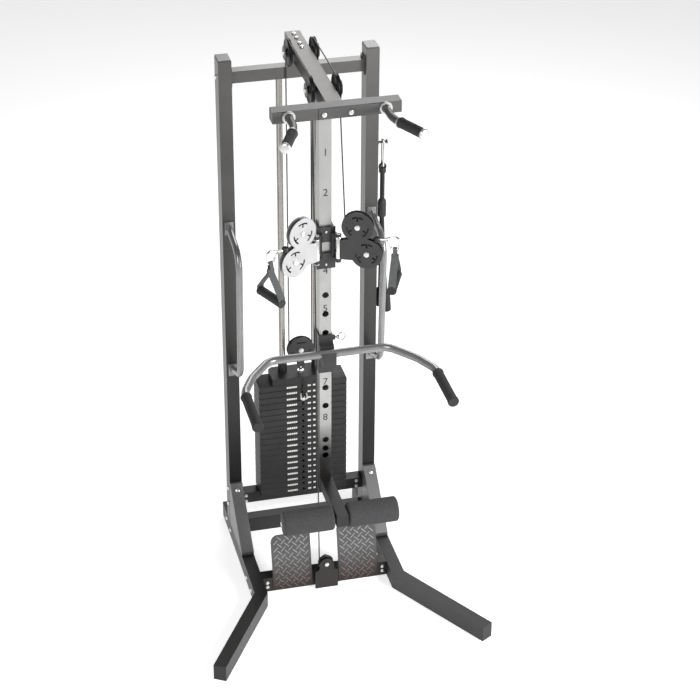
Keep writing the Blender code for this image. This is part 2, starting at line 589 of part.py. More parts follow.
for side, s in (("left", -1), ("right", 1)):
    flat = None
    for y0, y1 in ((-11.4, -8.4), (8.4, 11.4)):
        a = cyl((CAGE_UP[0], y0, CAGE_UP[1]), (CAGE_UP[0], y1, CAGE_UP[1]), CAGE_R, 20)
        b = cyl((CAGE_LOW[0], y0, CAGE_LOW[1]), (CAGE_LOW[0], y1, CAGE_LOW[1]), CAGE_R, 20)
        neck = prism([(8, 1484.6), (8, 1560), (44, 1568), (112, 1572), (120, 1560), (70, 1484.6)], "xz", y0, y1)
        a = join(a, b, neck)
        if flat is None:
            flat = a
        else:
            hub = box(7, 40, -9.5, 9.5, 1486, 1556)
            flat = join(flat, hub, a, cyl((0, 0, 1484), (0, 0, 1570), 11, 14))
    cage = cut(flat, cyl((0, 0, 1460), (0, 0, 1590), 6.6, 12))
    for cx, cz in (CAGE_UP, CAGE_LOW):
        for k in range(3):
            cage = cut(cage, arc_slot(cx, cz, 90 + 120 * k, -30, 30))
        cage = join(cage, cyl((cx, -10, cz), (cx, 10, cz), 6.2, 10), bolt((cx, -11.4, cz), (0, -1, 0), 8.5, 5), bolt((cx, 11.4, cz), (0, 1, 0), 8.5, 5))
    moved(cage, cage_matrix(s))
    finish(cage, "cage_" + side, ZINC, (s * HINGE_X, HINGE_Y, 1527))
    axis = cage_point(s, 0, 0, 1) - cage_point(s, 0, 0, 0)
    for where, (cx, cz) in (("upper", CAGE_UP), ("lower", CAGE_LOW)):
        c = cage_point(s, cx, cz)
        finish(pulley(c, axis), f"cage_pulley_{side}_{where}", NYLON, c)

# ---- cable stops and snap links, standing in the plane of the cage ----
BALL_RHO, BALL_Z = 141.0, CAGE_UP[1] - CABLE_RC
for side, s in (("left", -1), ("right", 1)):
    c = cage_point(s, BALL_RHO, BALL_Z)
    d = (cage_point(s, 1, 0) - cage_point(s, 0, 0)).normalized()
    across = cage_point(s, 0, 0, 1) - cage_point(s, 0, 0, 0)
    ball = turned(c, d, [(5, -13.5), (10.5, -9), (13.4, -3.5), (13.4, 3.5), (10.5, 9), (6, 13)], 16)
    loop = arc_path([cage_point(s, r, z) for r, z in ((185, 1566), (161, 1574), (207, 1587), (221, 1579), (LINK_RHO + 15, LINK_Z), (LINK_RHO - 15, LINK_Z), (185, 1566))], [5, 6, 6, 5, 5], 2)[1:]
    eye = sweep(loop, circle(4.0, 6), up=across, closed=True)
    ball = join(ball, cyl(c + d * 10, cage_point(s, 171, 1574), 5.2, 10), eye)
    finish(ball, "link_" + side, CHROME, c)

# ---- stirrup handles: a webbing triangle and a tube grip ----
for side, s in (("left", -1), ("right", 1)):
    d = (cage_point(s, 1, 0) - cage_point(s, 0, 0)).normalized()
    n = cage_point(s, 0, 0, -1) - cage_point(s, 0, 0, 0)
    hang = cage_point(s, LINK_RHO, LINK_Z)
    centre = Vector((hang.x, hang.y, GRIP_Z))
    half, W, T = 62.0, 28.0, 3.0
    split = Vector((hang.x, hang.y, 1496))
    wrap = []
    for k in range(12):
        t = 2 * math.pi * k / 12
        wrap.append(Vector((hang.x, hang.y, LINK_Z - 12)) + n * (7.5 * math.sin(t)) + Vector((0, 0, 20.5 * math.cos(t))))
    hold = sweep(wrap, rect(2.2, W - 14), up=d, closed=True)
    web = prism([(-5.5, 1517), (5.5, 1517), (5.5, 1494), (-5.5, 1494)], "xz", -W / 2 + 0.7, W / 2 - 0.7)
    basis = Matrix(((n.x, d.x, 0, hang.x), (n.y, d.y, 0, hang.y), (0, 0, 1, 0), (0, 0, 0, 1)))
    moved(web, basis)
    parts = [hold]
    for q in (-1, 1):
        a = centre + n * (q * (half + 2.5)) + Vector((0, 0, 20.5))
        b = split + n * (q * 3.2) + Vector((0, 0, 4))
        parts.append(sweep([b, a, a - Vector((0, 0, 11))], rect(W, T), up=(a - b).cross(d).normalized()))
        e = centre + n * (q * half)
        parts.append(cyl(e + n * (q * 0.4), e + n * (q * 4.6), 17.0, 14))
    parts.append(cyl(centre - n * (half + 2), centre + n * (half + 2), 7.5, 12))
    strap = join(web, *parts)
    finish(strap, "strap_" + side, WEB, hang)
    grip = lathe(centre, n, [(8.0, -half), (16.8, -half), (16.8, half), (8.0, half)], 14)
    finish(grip, "grip_" + side, RUBBER, centre)


# ---- weight stack ----
def plate_rows(n, z0, half):
    levels = []
    for k in range(n):
        z = z0 + k * PLATE
        levels += [(z, 0.0), (z + PLATE - 2.2, 0.0)]
        if k < n - 1:
            levels += [(z + PLATE - 1.1, 2.0)]
    v, f = [], []
    for z, ins in levels:
        x, y0, y1 = half - ins, STACK_Y0 + ins, STACK_Y1 - ins
        for p in ((-x, y0), (x, y0), (x, y1), (-x, y1)):
            v.append((p[0], p[1], z))
    for i in range(len(levels) - 1):
        for k in range(4):
            l = (k + 1) % 4
            f.append((i * 4 + k, i * 4 + l, (i + 1) * 4 + l, (i + 1) * 4 + k))
    m = (len(levels) - 1) * 4
    f += [tuple(range(4)), tuple(range(m, m + 4))]
    return raw(v, f)


def bored(rows, z0, z1):
    return cut(rows, cyl((0, STEM_Y, z0 - 5), (0, STEM_Y, z1 + 5), 13.5, 14), *[cyl((s * ROD_X, ROD_Y, z0 - 5), (s * ROD_X, ROD_Y, z1 + 5), 13.4, 16) for s in (-1, 1)])


REST = PLATES - LIFTED
rest_top = STACK_Z0 + REST * PLATE
rest = bored(plate_rows(REST, STACK_Z0, STACK_HALF), STACK_Z0, rest_top)
rest = cut(rest, group([cyl((0, STACK_Y0 - 5, STACK_Z0 + (k + 0.46) * PLATE), (0, STEM_Y - 10, STACK_Z0 + (k + 0.46) * PLATE), 5.5, 4) for k in range(REST)]))
finish(rest, "plates_resting", CASTING)
lift = bored(plate_rows(LIFTED - 1, rest_top, STACK_HALF), rest_top, rest_top + 3 * PLATE)
PIN_H = rest_top + 0.46 * PLATE
for k in range(LIFTED - 1):
    z = PIN_H + k * PLATE
    lift = cut(lift, cyl((0, STACK_Y0 - 5, z), (0, STEM_Y - 10 if k else STEM_Y + 30, z), 5.6, 10 if not k else 6))
finish(lift, "plates_lifted", CASTING, (0, ROD_Y, rest_top))
head_z0 = rest_top + (LIFTED - 1) * PLATE
head_z1 = head_z0 + PLATE - 0.3
head = prism([(-HEAD_HALF, STACK_Y0), (HEAD_HALF, STACK_Y0), (HEAD_HALF, STACK_Y1 - 14), (HEAD_HALF - 14, STACK_Y1), (-HEAD_HALF + 14, STACK_Y1), (-HEAD_HALF, STACK_Y1 - 14)], "xy", head_z0, head_z1)
head = join(head, *[cyl((s * ROD_X, ROD_Y, head_z1 - 1), (s * ROD_X, ROD_Y, head_z1 + 39), 18.0, 18) for s in (-1, 1)])
head = cut(head, *[cyl((s * ROD_X, ROD_Y, head_z0 - 5), (s * ROD_X, ROD_Y, head_z1 + 50), 13.0, 16) for s in (-1, 1)])
head = join(head, cyl((0, STEM_Y, 205), (0, STEM_Y, head_z0 + 2), 11.0, 14))
head = cut(head, cyl((0, STEM_Y - 30, PIN_H), (0, STEM_Y + 30, PIN_H), 5.5, 12))
head = join(head, cyl((0, STEM_Y, head_z1 - 1), (0, STEM_Y, head_z1 + 30), 6.5, 12), cyl((0, STEM_Y, head_z1 - 1), (0, STEM_Y, head_z1 + 9), 13.0, 6))
finish(head, "stack_head", CASTING, (0, ROD_Y, head_z0))
yoke_z = head_z1 + 30 + GAP
blk = box(-13, 13, STEM_Y - 11.4, STEM_Y + 11.4, yoke_z, yoke_z + 9)
for y0, y1 in ((STEM_Y - 11.4, STEM_Y - 8.9), (STEM_Y + 8.9, STEM_Y + 11.4)):
    a = cyl((0, y0, FLOAT_Z), (0, y1, FLOAT_Z), 54.0, 20)
    a = join(a, box(-13, 13, y0, y1, yoke_z + 1, FLOAT_Z - 30))
    for k in range(3):
        a = cut(a, arc_slot(0, FLOAT_Z, 90 + 120 * k, y0 - 3, y1 + 3))
    blk = join(blk, a)
blk = join(blk, cyl((0, STEM_Y - 10, FLOAT_Z), (0, STEM_Y + 10, FLOAT_Z), 6.2, 12), bolt((0, STEM_Y - 11.4, FLOAT_Z), (0, -1, 0), 9, 5), bolt((0, STEM_Y + 11.4, FLOAT_Z), (0, 1, 0), 9, 5))
finish(blk, "float_block", ZINC, (0, STEM_Y, FLOAT_Z))
for side, s in (("left", -1), ("right", 1)):
    finish(cyl((s * ROD_X, ROD_Y, BASE_Z1 + GAP), (s * ROD_X, ROD_Y, CROSS_Z0 - GAP), ROD_R, 20), "guide_rod_" + side, CHROME)
py = STACK_Y0 - 7
sel = turned((0, py, PIN_H), (0, 1, 0), [(9.5, 0), (9.5, 6), (4.5, 6.5), (4.5, 67), (3.2, 69)], 14)
bow = arc_path([(-12, py - 2, PIN_H + 26), (-12, py - 14, PIN_H + 6), (-9, py - 4, PIN_H - 3), (9, py - 4, PIN_H - 3), (12, py - 14, PIN_H + 6), (12, py - 2, PIN_H + 26)], [7, 5, 5, 7], 2)
sel = join(sel, sweep(bow, circle(2.8, 6), up=(0, 1, 0.3)), cyl((0, py - 6, PIN_H), (0, py + 1, PIN_H), 6.5, 12))
finish(sel, "selector_pin", CHROME, (0, STACK_Y0, PIN_H))
lan = [(0, STACK_Y0 - 2.4, head_z1 - 6), (0, STACK_Y0 - 4.5, head_z1 - 16), (1, STACK_Y0 - 6, head_z1 - 40), (0, STACK_Y0 - 10, PIN_H + 30), (0, py - 8, PIN_H + 9.2)]
cable("pin_lanyard", arc_path(lan, 14, 2), 1.7, CABLE, 2)


# ---- cables ----
def half_route(s):
    pts = [cage_point(s, BALL_RHO - 13.9, BALL_Z), cage_point(s, CAGE_UP[0] + 22, BALL_Z)]
    for k in range(5):
        t = math.radians(-90 - 22.5 * k)
        pts.append(cage_point(s, CAGE_UP[0] + CABLE_RC * math.cos(t), CAGE_UP[1] + CABLE_RC * math.sin(t)))
    low = pts[-1]
    dy, dz = low.y - BOOM_FRONT_Y, low.z - BOOM_PULLEY_Z
    t0 = (math.atan2(dz, dy) - math.acos(CABLE_RC / math.hypot(dy, dz))) % (2 * math.pi)
    for k in range(5):
        t = t0 + (math.pi / 2 - t0) * k / 4
        pts.append(Vector((s * BOOM_PULLEY_X, BOOM_FRONT_Y + CABLE_RC * math.cos(t), BOOM_PULLEY_Z + CABLE_RC * math.sin(t))))
    for k in range(5):
        t = math.radians(90 - 22.5 * k)
        pts.append(Vector((s * BOOM_PULLEY_X, BOOM_BACK_Y + CABLE_RC * math.cos(t), BOOM_PULLEY_Z + CABLE_RC * math.sin(t))))
    return pts


route = half_route(-1)
for k in range(9):
    t = math.radians(180 + 22.5 * k)
    route.append(Vector((CABLE_RC * math.cos(t), STEM_Y, FLOAT_Z + CABLE_RC * math.sin(t))))
route += list(reversed(half_route(1)))
cable("cable_main", route, CABLE_R, CABLE)

lx, ly, lz = LOW_PULLEY
low_route = [Vector((lx - 46, ly, 2040 - GAP)), Vector((lx - LOW_RC, ly, lz + 6))]
for k in range(9):
    t = math.radians(180 + 22.5 * k)
    low_route.append(Vector((lx + LOW_RC * math.cos(t), ly, lz + LOW_RC * math.sin(t))))
low_route.append(Vector((lx + LOW_RC, ly, lz + 14)))
cable("cable_low", low_route, CABLE_R, CABLE)

# ---- lat bar in its cradle ----
lat_pts = []
for x, y in ((-356, -858), (-356, -640), (-312, -552), (-226, BAR_YC)):
    lat_pts.append((x, y, HANG_Z - (3 if y < -800 else 0)))
lat_pts += [(-x, y, z) for x, y, z in reversed(lat_pts)]
lat = sweep(arc_path(lat_pts, [110, 200, 70, 70, 200, 110], 3), circle(LAT_R, 10))
finish(lat, "lat_bar", PAINT, (0, BAR_YC, HANG_Z))
for side, s in (("left", -1), ("right", 1)):
    p0, p1 = Vector((s * 356, -668, HANG_Z - 0.4)), Vector((s * 356, -874, HANG_Z - 3.2))
    d = (p1 - p0).normalized()
    g = turned(p0, d, [(20.5, 0), (20.5, 6), (18.2, 9), (18.2, 195), (20.5, 198), (18, 206)], 14)
    g = cut(g, sweep([(s * 356, -640, HANG_Z), (s * 356, -858.4, HANG_Z - 3)], circle(LAT_R + 1.0, 12)))
    finish(g, "lat_grip_" + side, RUBBER, (0, BAR_YC, HANG_Z))
hang = box(-27, 27, COL_Y0 - 8, COL_Y1 + 8, 990, 1150)
prof = [(COL_Y0 - 7, 1048), (BAR_YC - 22, 1048), (BAR_YC - 22, HANG_Z + 8), (BAR_YC - 19, HANG_Z + 12), (BAR_YC - 17, HANG_Z + 12), (BAR_YC - 15.4, HANG_Z)]
prof += [(BAR_YC + 15.4 * math.cos(math.radians(t)), HANG_Z + 15.4 * math.sin(math.radians(t))) for t in range(202, 359, 22)]
prof += [(BAR_YC + 15.4, HANG_Z), (BAR_YC + 17, HANG_Z + 20), (COL_Y0 - 7, HANG_Z + 26)]
hang = join(hang, prism(prof, "yz", -26.5, 26.5), cyl((26, -376, HP_Z), (41, -376, HP_Z), 10, 14))
hang = cut(hang, box(-COL_W / 2 - 0.8, COL_W / 2 + 0.8, COL_Y0 - 0.8, COL_Y1 + 0.8, 980, 1160), cyl((COL_W / 2 - 1, -376, HP_Z), (60, -376, HP_Z), 4.8, 12))
finish(hang, "hanger", PAINT, (0, -376, 1070))
hp = turned((COL_W / 2 + 1.5, -376, HP_Z), (1, 0, 0), [(4.4, 0), (4.4, 26), (9, 26.4), (9, 32)], 14)
ring = [Vector((COL_W / 2 + 30.5 + 15 + 14 * math.cos(2 * math.pi * k / 12), -376, HP_Z + 16 * math.sin(2 * math.pi * k / 12))) for k in range(12)]
finish(join(hp, sweep(ring, circle(2.4, 6), up=(0, 1, 0), closed=True)), "hanger_pin", CHROME, (COL_W / 2, -376, HP_Z))

# ---- rope on its snap link ----
RX, RY = 320.5, 8.0
loop = []
for k in range(16):
    t = 2 * math.pi * (k + 0.5) / 16
    y, z = math.cos(t), math.sin(t)
    loop.append(Vector((RX, RY + 13.0 * math.copysign(abs(y) ** 0.5, y), 1667 + 55.5 * math.copysign(abs(z) ** 0.5, z))))
lk = sweep(loop, circle(3.4, 6), up=(1, 0, 0), closed=True)
finish(lk, "rope_carabiner", CHROME, (RX, RY, 1712))
eye = [Vector((RX + 10.5 * math.cos(2 * math.pi * k / 10), RY, 1609 + 13 * math.sin(2 * math.pi * k / 10))) for k in range(10)]
rope = sweep(eye, circle(5.0, 6), up=(0, 1, 0), closed=True)
rope = join(rope, turned((RX, RY, 1586), (0, 0, 1), [(12.5, 0), (12.5, 12), (8, 18)], 10), turned((RX, RY, 1400), (0, 0, 1), [(15.5, 0), (15.5, 62), (12, 72)], 10))
for q, ends in ((-1, [(RX, RY - 7, 1590), (RX, RY - 7, 1400), (RX + 5, RY - 14, 1240), (RX + 14, RY - 26, 1066)]), (1, [(RX, RY + 7, 1590), (RX, RY + 7, 1400), (RX, RY + 11, 1240), (RX, RY + 17, 1066)])):
    rope = join(rope, sweep(arc_path(ends, 300, 1), circle(7.0, 8), up=(1, 0, 0)))
    e, b = Vector(ends[-1]), Vector(ends[-2])
    d = (e - b).normalized()
    rope = join(rope, turned(e - d * 14, d, [(8, 0), (17, 24), (17, 74), (13, 80)], 12))
finish(rope, "triceps_rope", ROPE, (RX, RY, 1640))
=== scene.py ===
import json
import math

import bmesh
import bpy
from mathutils import Matrix, Vector

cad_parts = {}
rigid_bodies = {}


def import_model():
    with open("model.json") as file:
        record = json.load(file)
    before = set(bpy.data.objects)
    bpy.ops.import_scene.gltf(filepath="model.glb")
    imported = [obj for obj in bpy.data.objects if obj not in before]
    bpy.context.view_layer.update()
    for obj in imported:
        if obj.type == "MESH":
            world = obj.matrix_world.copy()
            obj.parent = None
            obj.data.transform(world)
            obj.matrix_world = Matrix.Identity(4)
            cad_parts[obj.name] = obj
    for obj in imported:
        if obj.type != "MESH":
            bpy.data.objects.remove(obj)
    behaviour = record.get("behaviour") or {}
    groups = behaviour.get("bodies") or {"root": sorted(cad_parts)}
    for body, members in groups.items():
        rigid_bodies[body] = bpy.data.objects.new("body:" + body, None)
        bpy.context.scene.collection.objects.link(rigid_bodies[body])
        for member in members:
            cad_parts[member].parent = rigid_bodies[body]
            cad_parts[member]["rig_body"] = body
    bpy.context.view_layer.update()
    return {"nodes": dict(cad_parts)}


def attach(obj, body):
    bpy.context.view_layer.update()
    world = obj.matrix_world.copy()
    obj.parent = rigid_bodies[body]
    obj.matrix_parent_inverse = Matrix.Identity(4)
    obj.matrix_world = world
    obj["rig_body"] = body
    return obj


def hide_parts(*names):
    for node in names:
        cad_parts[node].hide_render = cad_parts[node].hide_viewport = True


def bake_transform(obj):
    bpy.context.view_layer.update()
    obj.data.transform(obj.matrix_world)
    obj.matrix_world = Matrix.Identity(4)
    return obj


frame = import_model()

NODES = frame["nodes"]

MM = 0.001
SHIFT = 362.0     # the CAD helpers' own frame has the uprights' front face at Y = 0


def P(p):
    """Millimetres with the uprights' front face at Y = 0, to metres in the row frame."""
    return Vector((p[0] * MM, (p[1] + SHIFT) * MM, p[2] * MM))


# ---------------------------------------------------------------- camera
cam = bpy.data.objects.new("camera", bpy.data.cameras.new("camera"))
bpy.context.scene.collection.objects.link(cam)
cam.data.lens = 108.9
cam.data.sensor_width = 36.0
cam.data.clip_end = 100
az, el, roll = math.radians(-14.303), math.radians(30.630), math.radians(0.358)
d = Vector((math.sin(az) * math.cos(el), -math.cos(az) * math.cos(el), math.sin(el)))
fwd = -d
r0 = fwd.cross(Vector((0, 0, 1))).normalized()
u0 = r0.cross(fwd)
right = r0 * math.cos(roll) + u0 * math.sin(roll)
upv = -r0 * math.sin(roll) + u0 * math.cos(roll)
eye = Vector((0.196, 0.362, 0.825)) + d * 8.370
rot = Matrix((right, upv, -fwd)).transposed()
cam.matrix_world = Matrix.Translation(eye) @ rot.to_4x4()
bpy.context.scene.camera = cam


# ---------------------------------------------------------------- materials
def material(name, rgb, rough, metal=0.0, var=0.12, scale=18.0, bump=0.0, bump_scale=400.0, bevel=0.0,
             rgb2=None, painted_shade_z=None, coat=0.0, stretch=None, wave=None, voronoi=None):
    m = bpy.data.materials.new(name)
    m.use_nodes = True
    nt = m.node_tree
    b = nt.nodes["Principled BSDF"]
    b.inputs["Roughness"].default_value = rough
    b.inputs["Metallic"].default_value = metal
    b.inputs["Coat Weight"].default_value = coat
    b.inputs["Coat Roughness"].default_value = 0.25
    co = nt.nodes.new("ShaderNodeTexCoord")
    src = co.outputs["Object"]
    if stretch:
        mp = nt.nodes.new("ShaderNodeMapping")
        mp.inputs["Scale"].default_value = stretch
        nt.links.new(src, mp.inputs["Vector"])
        src = mp.outputs["Vector"]
    nz = nt.nodes.new("ShaderNodeTexNoise")
    nz.inputs["Scale"].default_value = scale
    nz.inputs["Detail"].default_value = 4
    nt.links.new(src, nz.inputs["Vector"])
    ramp = nt.nodes.new("ShaderNodeValToRGB")
    ramp.color_ramp.elements[0].position = 0.3
    ramp.color_ramp.elements[1].position = 0.7
    a = rgb2 or tuple(c * (1 - var) for c in rgb)
    ramp.color_ramp.elements[0].color = (*a, 1)
    ramp.color_ramp.elements[1].color = (*[min(1, c * (1 + var)) for c in rgb], 1)
    nt.links.new(nz.outputs["Fac"], ramp.inputs["Fac"])
    colour = ramp.outputs["Color"]
    # Painted shade: below z1 the base colour is mixed towards the given dark colour, which it reaches at z0 (object Z
    # in metres).
    if painted_shade_z:
        z0, z1, low = painted_shade_z
        sep = nt.nodes.new("ShaderNodeSeparateXYZ")
        nt.links.new(co.outputs["Object"], sep.inputs["Vector"])
        mr = nt.nodes.new("ShaderNodeMapRange")
        mr.inputs["From Min"].default_value = z0
        mr.inputs["From Max"].default_value = z1
        nt.links.new(sep.outputs["Z"], mr.inputs["Value"])
        mix = nt.nodes.new("ShaderNodeMix")
        mix.data_type = "RGBA"
        mix.inputs["A"].default_value = (*low, 1)
        nt.links.new(mr.outputs["Result"], mix.inputs["Factor"])
        nt.links.new(colour, mix.inputs["B"])
        colour = mix.outputs["Result"]
    nt.links.new(colour, b.inputs["Base Color"])
    normal = None
    if bevel:
        bv = nt.nodes.new("ShaderNodeBevel")
        bv.samples = 4
        bv.inputs["Radius"].default_value = bevel
        normal = bv.outputs["Normal"]
    if bump:
        height = None
        if wave:
            wv = nt.nodes.new("ShaderNodeTexWave")
            wv.bands_direction = wave[0]
            wv.inputs["Scale"].default_value = wave[1]
            nt.links.new(co.outputs["Object"], wv.inputs["Vector"])
            height = wv.outputs["Fac"]
        elif voronoi:
            vr = nt.nodes.new("ShaderNodeTexVoronoi")
            vr.inputs["Scale"].default_value = voronoi
            nt.links.new(co.outputs["Object"], vr.inputs["Vector"])
            height = vr.outputs["Distance"]
        else:
            n2 = nt.nodes.new("ShaderNodeTexNoise")
            n2.inputs["Scale"].default_value = bump_scale
            n2.inputs["Detail"].default_value = 3
            nt.links.new(co.outputs["Object"], n2.inputs["Vector"])
            height = n2.outputs["Fac"]
        bm_ = nt.nodes.new("ShaderNodeBump")
        bm_.inputs["Strength"].default_value = bump
        bm_.inputs["Distance"].default_value = 0.0006
        nt.links.new(height, bm_.inputs["Height"])
        if normal is not None:
            nt.links.new(normal, bm_.inputs["Normal"])
        normal = bm_.outputs["Normal"]
    if normal is not None:
        nt.links.new(normal, b.inputs["Normal"])
    return m


# Painted shade: the frame paint darkens from 2.1 m down to near-black at 0.45 m, standing in for the lower frame lying
# in shade.
PAINT = material("charcoal_paint", (0.115, 0.113, 0.110), 0.33, 0.5, var=0.05, bump=0.05, bump_scale=900, painted_shade_z=(0.45, 2.1, (0.018, 0.017, 0.017)))
BASE_PAINT = material("base_paint", (0.013, 0.0115, 0.011), 0.44, 0.1, var=0.08, bump=0.05, bump_scale=900)
BOOM_PAINT = material("boom_paint", (0.085, 0.079, 0.076), 0.36, 0.5, var=0.06, bump=0.05, bump_scale=900)
BAR_PAINT = material("bar_paint", (0.085, 0.083, 0.082), 0.42, 0.35, var=0.06, bump=0.05, bump_scale=900)
TUBE_PAINT = material("tube_paint", (0.27, 0.27, 0.27), 0.27, 0.65, var=0.05, bump=0.04, bump_scale=900)
PANEL = material("panel_grey_paint", (0.17, 0.17, 0.17), 0.38, 0.5, var=0.06, bump=0.05, bump_scale=900)
# Painted shade: the column silver turns near-black below 0.76 m, fully at 0.60 m, standing in for the shadow on the
# column's lower end.
SILVER = material("column_silver", (0.42, 0.42, 0.41), 0.33, 0.75, var=0.05, bump=0.04, bump_scale=900, painted_shade_z=(0.60, 0.76, (0.045, 0.045, 0.045)))
LOW_PANEL = material("bracket_paint", (0.026, 0.022, 0.021), 0.36, 0.4, var=0.1)
CHROME = material("chrome", (0.78, 0.78, 0.77), 0.14, 1.0, var=0.03, scale=60)
ROD = material("rod_chrome", (0.40, 0.388, 0.364), 0.24, 1.0, var=0.03, scale=60)
ZINC = material("bright_zinc", (0.72, 0.72, 0.71), 0.30, 0.85, var=0.04, scale=80)
CAST = material("cast_black", (0.022, 0.022, 0.022), 0.48, 0.25, var=0.15, bump=0.25, bump_scale=1400)
NYLON = material("nylon_black", (0.014, 0.014, 0.014), 0.42, 0.0, var=0.1, scale=40)
RUBBER = material("rubber_black", (0.016, 0.016, 0.016), 0.62, 0.0, var=0.15, bump=0.25, bump_scale=1200)
KNURL = material("rubber_knurl", (0.018, 0.018, 0.018), 0.6, 0.0, var=0.15, bump=0.9, voronoi=420.0)
FOAM = material("foam_grey", (0.050, 0.050, 0.052), 0.88, 0.0, var=0.25, scale=220, bump=0.55, bump_scale=1100)
# Painted shade: the tread plate and its bars turn a dark reddish brown towards the bottom edge, standing in for the
# shadow low on the treads.
TREAD = material("tread_plate", (0.115, 0.115, 0.115), 0.36, 0.7, var=0.1, painted_shade_z=(0.02, 0.15, (0.045, 0.034, 0.031)), bump=0.08, bump_scale=700)
TREAD_BAR = material("tread_bar", (0.46, 0.46, 0.46), 0.28, 0.85, var=0.1, painted_shade_z=(0.02, 0.17, (0.17, 0.14, 0.13)))
CABLE = material("cable_jacket", (0.012, 0.012, 0.012), 0.35, 0.0, var=0.1, scale=200)
WEB = material("webbing_grey", (0.105, 0.11, 0.11), 0.82, 0.0, var=0.2, scale=300, bump=0.9, wave=("Z", 260.0))
ROPE = material("rope_braid", (0.020, 0.020, 0.020), 0.8, 0.0, var=0.3, scale=260, bump=1.0, voronoi=330.0)
# Painted light: the two mirrored cages are one steel; the left copy is painted lit, light silver, and the right copy
# painted shaded, dark grey.
CAGE_STEEL_PAINTED_LIT = material("cage_plate_left", (0.52, 0.52, 0.52), 0.34, 0.6, var=0.05)
CAGE_STEEL_PAINTED_SHADE = material("cage_plate_right", (0.045, 0.045, 0.045), 0.34, 0.5, var=0.06)
CAR = material("carriage_paint", (0.045, 0.045, 0.045), 0.42, 0.4, var=0.08, bump=0.06, bump_scale=900)
INK = material("number_ink", (0.015, 0.015, 0.015), 0.6, 0.0, var=0.1, scale=100)
LABEL = material("stack_marks", (0.72, 0.72, 0.70), 0.5, 0.0, var=0.05, scale=100)


# ---------------------------------------------------------------- mesh helpers (mm)
def raw(verts, faces):
    me = bpy.data.meshes.new("scratch")
    me.from_pydata([tuple(v) for v in verts], [], faces)
    bm = bmesh.new()
    bm.from_mesh(me)
    bmesh.ops.recalc_face_normals(bm, faces=bm.faces)
    bm.to_mesh(me)
    bm.free()
    obj = bpy.data.objects.new("scratch", me)
    bpy.context.scene.collection.objects.link(obj)
    return obj


def box(x0, x1, y0, y1, z0, z1):
    v = [(x, y, z) for z in (z0, z1) for y in (y0, y1) for x in (x0, x1)]
    return raw(v, [(0, 2, 3, 1), (4, 5, 7, 6), (0, 1, 5, 4), (2, 6, 7, 3), (0, 4, 6, 2), (1, 3, 7, 5)])


def frame_of(axis):
    a = Vector(axis).normalized()
    side = Vector((0, 0, 1)) if abs(a.z) < 0.9 else Vector((1, 0, 0))
    u = a.cross(side).normalized()
    return a, u, a.cross(u).normalized()


def turned(centre, axis, profile, seg=40):
    """(radius, along) from one end to the other, capped flat."""
    c = Vector(centre)
    a, u, w = frame_of(axis)
    v = []
    for r, h in profile:
        for i in range(seg):
            t = 2 * math.pi * (i + 0.5) / seg
            v.append(c + (u * math.cos(t) + w * math.sin(t)) * r + a * h)
    n = len(profile)
    f = [tuple(range(seg)), tuple(range((n - 1) * seg, n * seg))]
    for k in range(n - 1):
        for i in range(seg):
            j = (i + 1) % seg
            f.append((k * seg + i, k * seg + j, (k + 1) * seg + j, (k + 1) * seg + i))
    return raw(v, f)


def cyl(p0, p1, r, seg=32):
    p0, p1 = Vector(p0), Vector(p1)
    return turned(p0, p1 - p0, [(r, 0), (r, (p1 - p0).length)], seg)


def lathe(centre, axis, profile, seg=48):
    """A closed profile of (radius, along) turned about the axis."""
    c = Vector(centre)
    a, u, w = frame_of(axis)
    v, f, n = [], [], len(profile)
    for i in range(seg):
        t = 2 * math.pi * i / seg
        dd = u * math.cos(t) + w * math.sin(t)
        v += [c + dd * r + a * h for r, h in profile]
    for i in range(seg):
        j = (i + 1) % seg
        for k in range(n):
            m = (k + 1) % n
            f.append((i * n + k, i * n + m, j * n + m, j * n + k))
    return raw(v, f)


def sweep(path, section, up=(0, 0, 1), closed=False):
    pts = [Vector(p) for p in path]
    n = len(pts)
    up = Vector(up)
    rings = []
    for i, p in enumerate(pts):
        if closed:
            d0, d1 = (p - pts[i - 1]).normalized(), (pts[(i + 1) % n] - p).normalized()
        else:
            d0 = (p - pts[i - 1]).normalized() if i else (pts[1] - p).normalized()
            d1 = (pts[i + 1] - p).normalized() if i < n - 1 else d0
        t = (d0 + d1).normalized()
        s0 = d0.cross(up).normalized()
        w0 = s0.cross(d0).normalized()
        ring = []
        for a, b in section:
            q = p + s0 * a + w0 * b
            ring.append(q + d0 * ((p - q).dot(t) / d0.dot(t)))
        rings.append(ring)
    m = len(section)
    v = [q for ring in rings for q in ring]
    f = []
    for i in range(n if closed else n - 1):
        j = (i + 1) % n
        for k in range(m):
            l = (k + 1) % m
            f.append((i * m + k, i * m + l, j * m + l, j * m + k))
    if not closed:
        f += [tuple(range(m)), tuple(range((n - 1) * m, n * m))]
    return raw(v, f)


def rect(w, h):
    a, b = w / 2, h / 2
    return [(-a, -b), (a, -b), (a, b), (-a, b)]


def circle(r, n=20):
    return [(r * math.cos(2 * math.pi * (i + 0.5) / n), r * math.sin(2 * math.pi * (i + 0.5) / n)) for i in range(n)]


